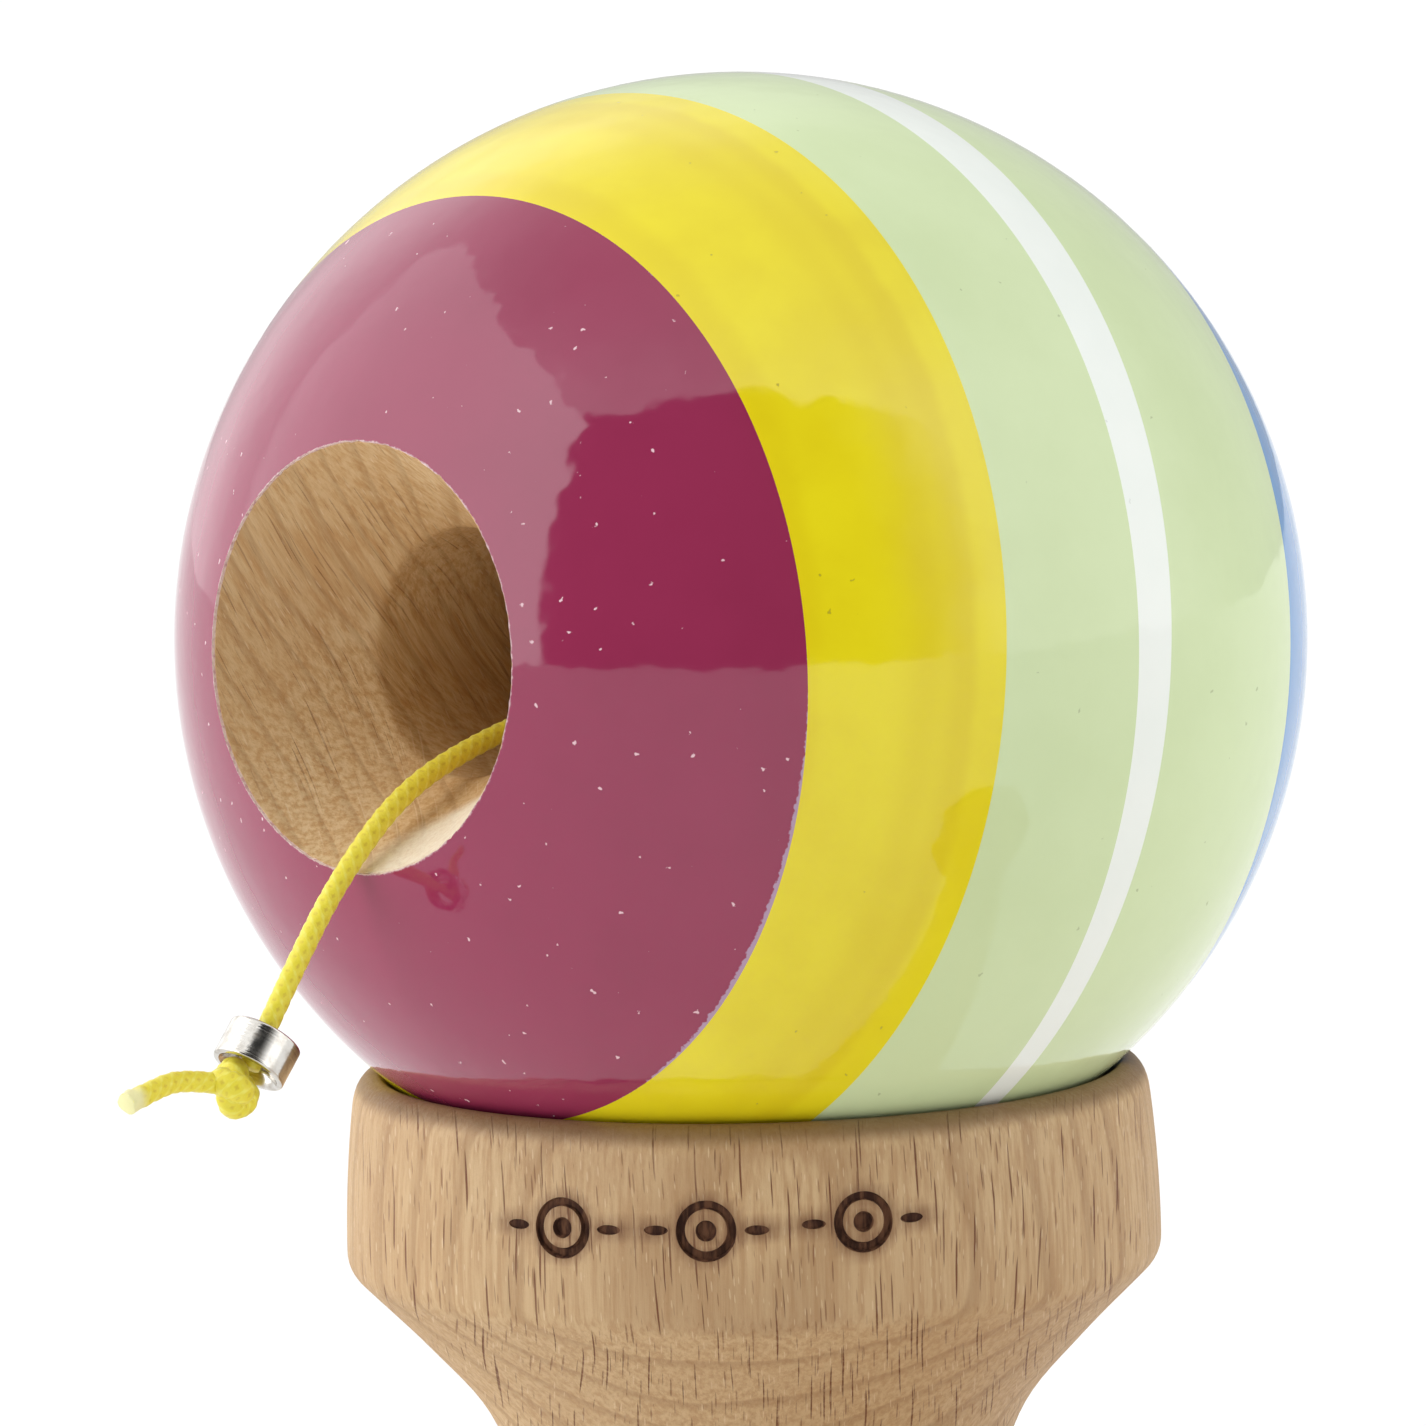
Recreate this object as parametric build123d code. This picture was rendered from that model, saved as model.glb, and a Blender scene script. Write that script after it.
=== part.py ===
from build123d import *
import math
import os

# Kendama, the cup-and-ball toy: a wooden handle ("ken") pushed through a double-cup crosspiece,
# and a painted wooden ball tied to it by a braided string.
# It stands on the small cup with the ball resting in the big cup.
#
# Frame, millimetres: +Z up along the crosspiece, origin at the centre of the small cup's rim on
# the table, the handle along +X with its spike towards -X, the ball's hole facing -Y.

# ---------------------------------------------------------------- driving dimensions
BALL_RADIUS = 30.0
PAINT_THICKNESS = 0.15
HOLE_LIFT_DEG = 3.0  # the hole's axis points this much above level

MOUTH_RADIUS = 10.9  # the bevelled mouth where it cuts the ball's surface
BORE_RADIUS = 6.4
BEVEL_DEPTH = 7.5
BORE_DEPTH = 42.0
STRING_HOLE_RADIUS = 1.5

CROSS_HEIGHT = 70.0
BIG_RIM_RADIUS = 19.75  # inner edge of the big cup, which the ball rests on
BIG_CUP_RADIUS = 21.76
BIG_BOWL_DEPTH = 9.5
SMALL_RIM_RADIUS = 17.0
SMALL_CUP_RADIUS = 19.5
SMALL_BOWL_DEPTH = 8.0
WAIST_RADIUS = 12.5
RIM_GAP = 0.13  # the ball's paint stays this far from the rim

KEN_HEIGHT = CROSS_HEIGHT / 2
SHOULDER_X = 12.0  # the handle's shoulder stops here against the crosspiece
SPIKE_TIP_X = -56.0
TIP_RADIUS = 2.7
BASE_RIM_X = 108.0
NECK_RADIUS_SPIKE_END = 7.3
NECK_RADIUS_SHOULDER = 7.9
KEN_FIT_GAP = 0.05
BASE_CUP_RADIUS = 18.2
BASE_RIM_RADIUS = 16.4
BASE_BOWL_DEPTH = 7.5

STRING_DIAMETER = 1.05
STRING_X = 4.0  # where the string's cross hole passes through handle and crosspiece
TIE_HOLE_RADIUS = 1.1
ANCHOR_RECESS_RADIUS = 2.3
ANCHOR_RECESS_DEPTH = 4.0
ANCHOR_KNOT_RADIUS = 1.7

BEAD_RADIUS = 1.93
BEAD_HOLE_RADIUS = 1.2
BEAD_LENGTH = 2.05
KNOT_RADIUS = 1.4

COIL_CENTRE = (-29.5, 27.0)
COIL_INNER_RADIUS = 4.7
COIL_OUTER_RADIUS = 7.0
COIL_TURNS = 3.7

# The colours meet on planes: offset from the ball's centre towards the hole (mm), then how far
# the plane's axis turns and lifts from level and straight ahead (degrees), as sprayed by hand.
COLOUR_EDGES = {
    "maroon_yellow": (18.51, -2.9, 2.1),
    "yellow_green": (9.41, -2.2, 4.5),
    "green_white": (1.35, -2.2, 3.5),
    "white_green": (-1.00, -2.2, 5.4),
    "green_blue": (-13.82, -2.2, 3.5),
}
COATS = [  # node, edge towards the hole, edge away from the hole
    ("paint_maroon", None, "maroon_yellow"),
    ("paint_yellow", "maroon_yellow", "yellow_green"),
    ("paint_green_front", "yellow_green", "green_white"),
    ("paint_white_line", "green_white", "white_green"),
    ("paint_green_rear", "white_green", "green_blue"),
    ("paint_blue", "green_blue", None),
]

# ---------------------------------------------------------------- derived
WOOD_RADIUS = BALL_RADIUS - PAINT_THICKNESS
BALL_DROP = math.sqrt((BALL_RADIUS + RIM_GAP) ** 2 - BIG_RIM_RADIUS**2)
BALL_CENTRE = Vector(0, 0, CROSS_HEIGHT + BALL_DROP)
MOUTH_OFFSET = math.sqrt(BALL_RADIUS**2 - MOUTH_RADIUS**2)
STRING_RADIUS = STRING_DIAMETER / 2


def save(shape, node):
    """Writes one node's STEP."""
    shape.label = node
    export_step(shape, f"parts/{node}.step")


def bowl_tool(rim_radius, depth):
    """A ball that cuts a round bowl into a rim lying on the XY plane."""
    radius = (rim_radius**2 + depth**2) / (2 * depth)
    return Pos(0, 0, radius - depth) * Sphere(radius)


def at_ball(x, y, z):
    """A place given from the ball's centre."""
    return (x, y, BALL_CENTRE.Z + z)


# ---------------------------------------------------------------- crosspiece
def crosspiece_body():
    """The double cup: both bowls, the flared walls and the concave waist, turned about Z."""
    rim = CROSS_HEIGHT
    lip_flat = BIG_RIM_RADIUS + 0.35
    small_flat = SMALL_CUP_RADIUS - 0.9
    with BuildSketch(Plane.XZ) as section:
        with BuildLine():
            # small cup: flat rim, rounded edge, wall and lower corner
            Line((0, 0), (small_flat, 0))
            ThreePointArc((small_flat, 0), (19.0, 0.25), (19.22, 0.9))
            Line((19.22, 0.9), (SMALL_CUP_RADIUS, 7.4))
            ThreePointArc((SMALL_CUP_RADIUS, 7.4), (19.37, 8.15), (18.85, 8.75))
            # underside, waist and the big cup's taper
            Spline(
                (18.85, 8.75),
                (15.9, 12.1),
                (13.5, 16.2),
                (WAIST_RADIUS, 23.0),
                (WAIST_RADIUS - 0.2, 35.0),
                (WAIST_RADIUS, 45.5),
                (14.45, 51.75),
                (17.75, 55.7),
                (21.15, 59.15),
                tangents=((-1, 1), (1, 1.02)),
            )
            # big cup: lower corner, flared wall, rounded lip
            ThreePointArc((21.15, 59.15), (21.62, 59.8), (BIG_CUP_RADIUS, 60.6))
            Spline(
                (BIG_CUP_RADIUS, 60.6),
                (21.68, 63.6),
                (21.3, 68.2),
                tangents=((0, 1), (-0.12, 1)),
            )
            ThreePointArc((21.3, 68.2), (20.92, 69.45), (lip_flat, rim))
            Line((lip_flat, rim), (0, rim))
            Line((0, rim), (0, 0))
        make_face()
    turned_blank = revolve(section.sketch, Axis.Z, 360)
    big_bowl = bowl_tool(BIG_RIM_RADIUS, BIG_BOWL_DEPTH)
    small_bowl = Rot(180, 0, 0) * bowl_tool(SMALL_RIM_RADIUS, SMALL_BOWL_DEPTH)
    return turned_blank - Pos(0, 0, rim) * big_bowl - small_bowl


def crosspiece():
    """The double cup with the tapered hole for the handle, its seat and the string's hole."""
    reach = SMALL_CUP_RADIUS
    slope = (NECK_RADIUS_SHOULDER - NECK_RADIUS_SPIKE_END) / (2 * SHOULDER_X)
    middle = (NECK_RADIUS_SHOULDER + NECK_RADIUS_SPIKE_END) / 2 + KEN_FIT_GAP
    along_x = Location((0, 0, KEN_HEIGHT), (0, 90, 0))
    hole = along_x * Cone(middle - slope * reach, middle + slope * reach, 2 * reach)
    seat = Location((SHOULDER_X + reach / 2, 0, KEN_HEIGHT), (0, 90, 0)) * Cylinder(10.6, reach)
    tie_hole = Location((STRING_X, reach / 2, KEN_HEIGHT), (90, 0, 0)) * Cylinder(
        TIE_HOLE_RADIUS, reach
    )
    return crosspiece_body() - hole - seat - tie_hole


# ---------------------------------------------------------------- handle
def ken():
    """Spike, tapered neck, shoulder, grip and base cup in one turned piece along X."""
    slope = (NECK_RADIUS_SHOULDER - NECK_RADIUS_SPIKE_END) / (2 * SHOULDER_X)
    with BuildSketch(Plane.XZ) as section:
        with BuildLine():
            CenterArc((SPIKE_TIP_X + TIP_RADIUS, 0), TIP_RADIUS, 180, -90)
            Spline(
                (SPIKE_TIP_X + TIP_RADIUS, TIP_RADIUS),
                (-40.0, 4.3),
                (-26.0, 5.9),
                (-SHOULDER_X, NECK_RADIUS_SPIKE_END),
                tangents=((1, 0.17), (1, slope * 3)),
            )
            Line((-SHOULDER_X, NECK_RADIUS_SPIKE_END), (SHOULDER_X, NECK_RADIUS_SHOULDER))
            Line((SHOULDER_X, NECK_RADIUS_SHOULDER), (SHOULDER_X, 9.2))
            ThreePointArc((SHOULDER_X, 9.2), (SHOULDER_X + 0.4, 10.0), (SHOULDER_X + 1.4, 10.3))
            Spline(
                (SHOULDER_X + 1.4, 10.3),
                (30.0, 9.1),
                (58.0, 8.5),
                (82.0, 9.6),
                (92.0, 12.2),
                (98.8, 17.0),
                tangents=((1, 0), (1, 0.8)),
            )
            ThreePointArc((98.8, 17.0), (99.6, 17.65), (100.6, 17.9))
            Line((100.6, 17.9), (BASE_RIM_X - 1.0, BASE_CUP_RADIUS))
            ThreePointArc(
                (BASE_RIM_X - 1.0, BASE_CUP_RADIUS),
                (BASE_RIM_X - 0.25, 17.95),
                (BASE_RIM_X, 17.3),
            )
            Line((BASE_RIM_X, 17.3), (BASE_RIM_X, 0))
            Line((BASE_RIM_X, 0), (SPIKE_TIP_X, 0))
        make_face()
    blank = revolve(section.sketch, Axis.X, 360)
    blank -= Location((BASE_RIM_X, 0, 0), (0, 90, 0)) * bowl_tool(BASE_RIM_RADIUS, BASE_BOWL_DEPTH)
    tie_hole = Location((STRING_X, 0, 0), (90, 0, 0)) * Cylinder(TIE_HOLE_RADIUS, 40)
    recess_middle = -(NECK_RADIUS_SHOULDER + ANCHOR_RECESS_DEPTH / 2 - ANCHOR_RECESS_DEPTH)
    recess = Location((STRING_X, recess_middle, 0), (90, 0, 0)) * Cylinder(
        ANCHOR_RECESS_RADIUS, ANCHOR_RECESS_DEPTH
    )
    return Pos(0, 0, KEN_HEIGHT) * (blank - tie_hole - recess)


# ---------------------------------------------------------------- ball
BALL_PLACE = Location(BALL_CENTRE, (90 - HOLE_LIFT_DEG, 0, 0))  # local +Z leaves by the mouth


def hole_tool():
    """The bevelled mouth, the blind bore and the string's hole, as one body to cut away."""
    bevel_end = MOUTH_OFFSET - BEVEL_DEPTH
    bevel_slope = (MOUTH_RADIUS - BORE_RADIUS) / BEVEL_DEPTH
    above = 3.0
    bottom = MOUTH_OFFSET - BORE_DEPTH
    outside = -BALL_RADIUS - above
    with BuildSketch(Plane.XZ) as section:
        with BuildLine():
            Polyline(
                (0, MOUTH_OFFSET + above),
                (MOUTH_RADIUS + above * bevel_slope, MOUTH_OFFSET + above),
                (BORE_RADIUS, bevel_end),
                (BORE_RADIUS, bottom),
                (STRING_HOLE_RADIUS, bottom - 3.0),
                (STRING_HOLE_RADIUS, outside),
                (0, outside),
                (0, MOUTH_OFFSET + above),
            )
        make_face()
    return BALL_PLACE * revolve(section.sketch, Axis.Z, 360)


def colour_plane(edge):
    """The plane where two coats meet, facing the hole."""
    offset, turn, lift = COLOUR_EDGES[edge]
    turn = math.radians(turn)
    lift = math.radians(lift)
    axis = Vector(
        math.sin(turn) * math.cos(lift), -math.cos(turn) * math.cos(lift), math.sin(lift)
    )
    return Plane(origin=BALL_CENTRE + axis * offset, z_dir=axis)


def coat(skin, near_edge, far_edge):
    """The part of the painted skin between two colour edges."""
    piece = skin
    if near_edge:
        piece = split(piece, bisect_by=colour_plane(near_edge), keep=Keep.BOTTOM)
    if far_edge:
        piece = split(piece, bisect_by=colour_plane(far_edge), keep=Keep.TOP)
    return piece


# ---------------------------------------------------------------- string
# Routes, from the crosspiece's hole round the coil on the table to the ball and through it.
LEAD_ROUTE = [
    (4.0, 8.4, 35.0),
    (4.0, 13.6, 35.1),
    (3.2, 18.6, 32.8),
    (1.6, 21.6, 26.4),
    (-0.6, 23.4, 18.4),
    (-3.2, 24.8, 10.0),
    (-8.0, 27.0, 3.0),
    (-14.6, 29.9, 0.75),
    (-21.0, 32.3, 0.62),
    (-26.2, 33.0, 0.62),
]
RISER_ROUTE = [
    (-23.4, 26.0, 1.9),
    (-22.3, 29.0, 3.6),
    (-21.9, 31.6, 8.0),
    (-20.6, 32.6, 16.0),
    (-17.6, 32.5, 28.5),
    (-13.9, 32.2, 43.0),
    (-9.8, 32.3, 58.0),
    (-5.6, 32.9, 72.5),
    (-2.2, 34.3, 82.4),
]
THROUGH_ROUTE = [
    (-2.1, 34.35, 82.8),
    (-1.7, 34.8, 85.0),
    at_ball(-1.2, 35.0, -5.05),
    at_ball(-0.9, 33.7, -2.8),
    at_ball(-0.5, 31.5, -1.65),
    at_ball(0, 27.4, -1.4),
    at_ball(0, 19.4, -1.05),
    at_ball(0, 7.5, -0.3),
    at_ball(0.1, -4.5, -0.7),
    at_ball(0.2, -13.5, -2.2),
    at_ball(0.2, -20.5, -3.75),
    at_ball(0.2, -25.3, -5.6),
    at_ball(0.2, -29.1, -8.75),
    at_ball(0.2, -32.35, -12.5),
    at_ball(0.2, -36.4, -18.3),
]
KNOT_PLACE = at_ball(0.2, -37.5, -19.15)
TAIL_ROUTE = [
    at_ball(0.1, -38.2, -18.9),
    at_ball(-0.2, -40.6, -18.35),
    at_ball(0.2, -42.9, -18.6),
    at_ball(0.4, -44.9, -19.0),
]
BEAD_PLACE = at_ball(0.2, -35.85, -17.65)
STRING_UP = Vector(0, 0.572, 0.820)  # the way the bead slides, up the string
BEAD_AXIS = Vector(0, 0.64, 0.768)


def tube(name, route):
    """A round string along a route, its corners eased as far as the runs allow."""
    points = [Vector(*point) for point in route]
    runs = [b - a for a, b in zip(points, points[1:])]
    radii = []
    for before, after in zip(runs, runs[1:]):
        half_turn = math.radians(before.get_angle(after)) / 2
        radii.append(0.45 * min(before.length, after.length) / math.tan(half_turn))
    path = FilletPolyline(*points, radius=radii)
    section = Plane(origin=points[0], z_dir=runs[0]) * Circle(STRING_RADIUS)
    solid = sweep(section, path=path)
    expected = math.pi * STRING_RADIUS**2 * path.length
    print(
        f"{name}: length {path.length:.1f}, volume {solid.volume:.2f} of {expected:.2f}, radii",
        [round(radius, 1) for radius in radii],
    )
    return solid


def coil():
    """The outer shape of the put-away turns lying on the table."""
    height = 2 * STRING_DIAMETER + 0.1
    outer = Cylinder(COIL_OUTER_RADIUS, height, align=(Align.CENTER, Align.CENTER, Align.MIN))
    inner = Cylinder(COIL_INNER_RADIUS, height, align=(Align.CENTER, Align.CENTER, Align.MIN))
    middle = (COIL_OUTER_RADIUS + COIL_INNER_RADIUS) / 2
    print(f"string_coil: about {COIL_TURNS * 2 * math.pi * middle:.1f} of string in its turns")
    return Pos(*COIL_CENTRE, 0) * (outer - inner)


def bead():
    """The metal ring that takes the knocks above the knot."""
    ring = Cylinder(BEAD_RADIUS, BEAD_LENGTH) - Cylinder(BEAD_HOLE_RADIUS, BEAD_LENGTH)
    ring = chamfer(ring.edges().filter_by(GeomType.CIRCLE), 0.12)
    return Plane(origin=BEAD_PLACE, z_dir=BEAD_AXIS).location * ring


def main():
    """Builds every node."""
    os.makedirs("parts", exist_ok=True)
    save(crosspiece(), "crosspiece")
    save(ken(), "ken_handle")

    hole = hole_tool()
    wood = Pos(BALL_CENTRE) * Sphere(WOOD_RADIUS) - hole
    save(wood, "ball")
    skin = Pos(BALL_CENTRE) * (Sphere(BALL_RADIUS) - Sphere(WOOD_RADIUS)) - hole
    for node, near_edge, far_edge in COATS:
        save(coat(skin, near_edge, far_edge), node)

    save(tube("string_lead", LEAD_ROUTE), "string_lead")
    save(coil(), "string_coil")
    save(tube("string_riser", RISER_ROUTE), "string_riser")
    save(tube("string_through_ball", THROUGH_ROUTE), "string_through_ball")
    save(tube("string_tail", TAIL_ROUTE), "string_tail")
    save(Pos(*KNOT_PLACE) * Sphere(KNOT_RADIUS), "end_knot")
    save(bead(), "bead")

    knot_y = -(NECK_RADIUS_SHOULDER - ANCHOR_RECESS_DEPTH + ANCHOR_KNOT_RADIUS)
    save(Pos(STRING_X, knot_y, KEN_HEIGHT) * Sphere(ANCHOR_KNOT_RADIUS), "anchor_knot")
    inside = Location((STRING_X, (knot_y + 7.3) / 2, KEN_HEIGHT), (90, 0, 0))
    save(inside * Cylinder(STRING_RADIUS, 7.3 - knot_y), "string_in_ken")


main()
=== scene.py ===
import logging
import math
from dataclasses import dataclass, field
from enum import Enum

import bmesh
import bpy
from mathutils import Matrix, Vector, geometry, noise


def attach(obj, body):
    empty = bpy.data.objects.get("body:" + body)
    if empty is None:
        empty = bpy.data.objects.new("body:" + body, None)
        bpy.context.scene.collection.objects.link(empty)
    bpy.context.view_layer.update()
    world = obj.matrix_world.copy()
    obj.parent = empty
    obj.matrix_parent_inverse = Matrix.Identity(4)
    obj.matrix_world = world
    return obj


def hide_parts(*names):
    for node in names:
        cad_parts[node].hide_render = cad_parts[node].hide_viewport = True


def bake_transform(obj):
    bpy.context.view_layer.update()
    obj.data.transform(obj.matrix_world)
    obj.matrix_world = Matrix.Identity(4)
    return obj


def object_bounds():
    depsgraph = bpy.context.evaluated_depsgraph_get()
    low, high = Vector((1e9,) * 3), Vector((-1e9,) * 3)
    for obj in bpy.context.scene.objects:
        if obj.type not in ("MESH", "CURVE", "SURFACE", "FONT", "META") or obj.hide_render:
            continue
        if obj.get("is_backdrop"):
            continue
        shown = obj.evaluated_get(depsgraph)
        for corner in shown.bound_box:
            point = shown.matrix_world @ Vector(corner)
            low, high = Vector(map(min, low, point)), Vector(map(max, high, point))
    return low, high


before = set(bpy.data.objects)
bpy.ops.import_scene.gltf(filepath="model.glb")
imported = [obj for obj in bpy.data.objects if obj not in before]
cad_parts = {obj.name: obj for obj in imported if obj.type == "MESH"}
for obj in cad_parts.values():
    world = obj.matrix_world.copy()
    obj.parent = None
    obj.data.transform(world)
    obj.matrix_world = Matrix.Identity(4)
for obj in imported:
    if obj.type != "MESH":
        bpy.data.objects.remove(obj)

# A kendama standing on its small cup with the ball resting in the big cup.
# Metres, +Z up. Sizes below are in millimetres and become metres where a mesh is finished.
# The camera looks from the front right. All light comes from a soft tent round the table.

MM = 0.001
LOG = logging.getLogger("kendama")

BALL_CENTRE = Vector((0.0, 0.0, 92.754))
BALL_RADIUS = 30.0
PAINT_THICKNESS = 0.15
HOLE_LIFT = math.radians(3.0)
BALL_TURN = Matrix.Rotation(math.radians(90) - HOLE_LIFT, 4, "X")  # local +Z leaves by the mouth
BALL_PLACE = Matrix.Translation(BALL_CENTRE) @ BALL_TURN
MOUTH_AXIS = BALL_TURN @ Vector((0, 0, 1))
KEN_HEIGHT = 35.0
KEN_TURN = Matrix.Rotation(math.radians(90), 4, "Y")  # local +Z runs along the handle
ACROSS = Matrix.Rotation(math.radians(90), 4, "X")  # local +Z runs out of the front
SHARP = 32.0  # edges sharper than this many degrees stay sharp
RINGS_FACE = Vector((0.716, 0.556, 0.421)).normalized()  # the ball's growth rings are square to this
FIBRES_RUN = Vector((0.0, 0.421, -0.556)).normalized()

CAMERA_PLACE = Vector((274.797, -288.006, 132.210))
CAMERA_RIGHT = Vector((0.722322, 0.691184, -0.022727))
CAMERA_DOWN = Vector((0.058602, -0.093922, -0.993854))
CAMERA_FORWARD = Vector((-0.689070, 0.716550, -0.108346))
SENSOR_MM = 36.0
LENS_MM = 190.27

# Map Range inputs by index: 0 the value, 1 and 2 where the change starts and ends, 3 and 4 what it
# gives there (0 and 1 unless set). Mix inputs by index: 0 the share, 6 and 7 the two colours.
SMOOTH = {"interpolation_type": "SMOOTHSTEP"}


class Axis(Enum):
    """The way the wood's fibres run in a piece."""

    UP = "up"
    ALONG_HANDLE = "along_handle"
    ACROSS_HOLE = "across_hole"


# ------------------------------------------------------------------ small tools


def srgb(code: str, alpha: float = 1.0) -> tuple[float, float, float, float]:
    """Turns an sRGB hex value into a linear colour.

    Args:
        code: Six hex digits after a hash.
        alpha: The fourth value.

    Returns:
        Linear red, green, blue and alpha.
    """
    values = [int(code[i : i + 2], 16) / 255 for i in (1, 3, 5)]
    linear = [v / 12.92 if v <= 0.04045 else ((v + 0.055) / 1.055) ** 2.4 for v in values]
    return (*linear, alpha)


def add(tree: bpy.types.NodeTree, kind: str, inputs: dict | None = None, **settings) -> bpy.types.Node:
    """Adds one node with its settings, and sets or links its inputs.

    Args:
        tree: The node tree it goes in.
        kind: The node's type without its ShaderNode prefix.
        inputs: Input name or index to a value, to the socket that feeds it, or to the node whose
            first open output feeds it.
        settings: Properties of the node.

    Returns:
        The new node.
    """
    node = tree.nodes.new("ShaderNode" + kind)
    for name, value in settings.items():
        setattr(node, name, value)
    for key, value in (inputs or {}).items():
        if isinstance(value, bpy.types.Node):
            value = next(output for output in value.outputs if output.enabled)
        if isinstance(value, bpy.types.NodeSocket):
            tree.links.new(value, node.inputs[key])
        else:
            node.inputs[key].default_value = value
    return node


def new_material(name: str) -> tuple[bpy.types.Material, bpy.types.NodeTree]:
    """Makes an empty material.

    Args:
        name: What the real finish is.

    Returns:
        The material and its tree.
    """
    material = bpy.data.materials.new(name)
    material.use_nodes = True
    material.node_tree.nodes.clear()
    return material, material.node_tree


def in_millimetres(tree: bpy.types.NodeTree, centre: Vector | None = None) -> bpy.types.Node:
    """Object coordinates in millimetres, from the part's own origin or from a given centre.

    Args:
        tree: The material's tree.
        centre: Where they start, in millimetres.

    Returns:
        The node that gives them.
    """
    inputs = {"Vector": add(tree, "TexCoord").outputs["Object"], "Scale": (1 / MM,) * 3}
    if centre is not None:
        inputs["Location"] = -centre
    return add(tree, "Mapping", inputs)


def overlap(tree: bpy.types.NodeTree, *limits: tuple) -> bpy.types.Node:
    """Where several soft limits all hold.

    Args:
        tree: The node tree.
        limits: For each, the node or socket to read, where its share is 0, and where it is 1.

    Returns:
        The node that gives the product of the shares.
    """
    share = None
    for value, nothing, whole in limits:
        limit = add(tree, "MapRange", {0: value, 1: nothing, 2: whole}, **SMOOTH)
        share = limit if share is None else add(tree, "Math", {0: share, 1: limit}, operation="MULTIPLY")
    return share


def between(start: Vector, middle: Vector, end: Vector, steps: int) -> list[Vector]:
    """Points of a short arc from start to end by way of middle, without the first.

    Args:
        start: Where the arc starts.
        middle: The point half way along it.
        end: Where it ends.
        steps: How many points to give.

    Returns:
        The points.
    """
    corner = 2 * middle - (start + end) / 2
    handles = (start + (corner - start) * 2 / 3, end + (corner - end) * 2 / 3)
    return list(geometry.interpolate_bezier(start, *handles, end, steps + 1))[1:]


def flowing(points: list[tuple[float, float]], first: tuple, last: tuple, step: float) -> list[Vector]:
    """Points of a smooth profile through the given ones, without the first.

    Args:
        points: Radius and height of each known point.
        first: The direction at the start.
        last: The direction at the end.
        step: About how far apart the points are.

    Returns:
        The points.
    """
    known = [Vector((r, z)) for r, z in points]
    ways = [Vector(first).normalized()]
    for before, here, after in zip(known, known[1:], known[2:]):
        towards, away = (here - before), (after - here)
        way = towards / towards.length_squared + away / away.length_squared
        ways.append(way.normalized())
    ways.append(Vector(last).normalized())
    result: list[Vector] = []
    for (start, end), (leave, arrive) in zip(zip(known, known[1:]), zip(ways, ways[1:])):
        reach = (end - start).length
        count = max(3, round(reach / step))
        handles = (start + leave * reach / 3, end - arrive * reach / 3)
        result += list(geometry.interpolate_bezier(start, *handles, end, count + 1))[1:]
    return result


def turned(profile: list[Vector], steps: int) -> bmesh.types.BMesh:
    """Turns a profile of radius and height all the way round Z.

    Args:
        profile: The points of the profile, closed at its ends on the axis or into a loop.
        steps: How many steps go round.

    Returns:
        The turned shape in millimetres.
    """
    bm = bmesh.new()
    verts = [bm.verts.new((p[0], 0.0, p[1])) for p in profile]
    edges = [bm.edges.new(pair) for pair in zip(verts, verts[1:])]
    closed_on_axis = profile[0][0] < 1e-6
    if not closed_on_axis:
        edges.append(bm.edges.new((verts[-1], verts[0])))
    bmesh.ops.spin(bm, geom=verts + edges, cent=(0, 0, 0), axis=(0, 0, 1), angle=math.tau,
                   steps=steps, use_merge=True)
    bmesh.ops.remove_doubles(bm, verts=bm.verts, dist=1e-4)
    bmesh.ops.recalc_face_normals(bm, faces=bm.faces)
    return bm


def soften(bm: bmesh.types.BMesh, crease: float = SHARP) -> None:
    """Makes every face shade smoothly, and keeps the edges that are sharper than the crease."""
    for face in bm.faces:
        face.smooth = True
    for edge in bm.edges:
        edge.smooth = len(edge.link_faces) == 2 and edge.calc_face_angle(0.0) < math.radians(crease)


def finished(bm: bmesh.types.BMesh, name: str, place: Matrix | None = None,
             crease: float = SHARP) -> bpy.types.Object:
    """Makes an object of a mesh in millimetres, with its place in its mesh.

    Args:
        bm: The mesh, which is freed.
        name: The piece's name.
        place: Where it goes, in millimetres.
        crease: Edges sharper than this many degrees stay sharp.

    Returns:
        The object, linked to the scene.
    """
    bm.transform(Matrix.Scale(MM, 4) @ (place or Matrix.Identity(4)))
    soften(bm, crease)
    mesh = bpy.data.meshes.new(name)
    bm.to_mesh(mesh)
    bm.free()
    piece = bpy.data.objects.new(name, mesh)
    bpy.context.scene.collection.objects.link(piece)
    return piece


def evaluated_mesh(piece: bpy.types.Object) -> bpy.types.Mesh:
    """A new mesh of the piece with its modifiers applied."""
    bpy.context.view_layer.update()
    graph = bpy.context.evaluated_depsgraph_get()
    return bpy.data.meshes.new_from_object(piece.evaluated_get(graph), depsgraph=graph)


def cut_away(piece: bpy.types.Object, tools: list[bpy.types.Object]) -> None:
    """Cuts closed tools out of a closed piece and deletes the tools.

    Args:
        piece: What is cut. The tools' materials come with their faces.
        tools: What cuts it, all at once.
    """
    holder = bpy.data.collections.new("tools")
    bpy.context.scene.collection.children.link(holder)
    for tool in tools:
        holder.objects.link(tool)
    modifier = piece.modifiers.new("cut", "BOOLEAN")
    modifier.operation = "DIFFERENCE"
    modifier.operand_type = "COLLECTION"
    modifier.collection = holder
    modifier.solver = "EXACT"
    modifier.material_mode = "TRANSFER"
    cut = evaluated_mesh(piece)
    piece.modifiers.clear()
    piece.data = cut
    for tool in tools:
        bpy.data.objects.remove(tool)
    bpy.data.collections.remove(holder)
    bm = bmesh.new()
    bm.from_mesh(cut)
    soften(bm)
    bm.to_mesh(cut)
    bm.free()


# ------------------------------------------------------------------ finishes


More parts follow.
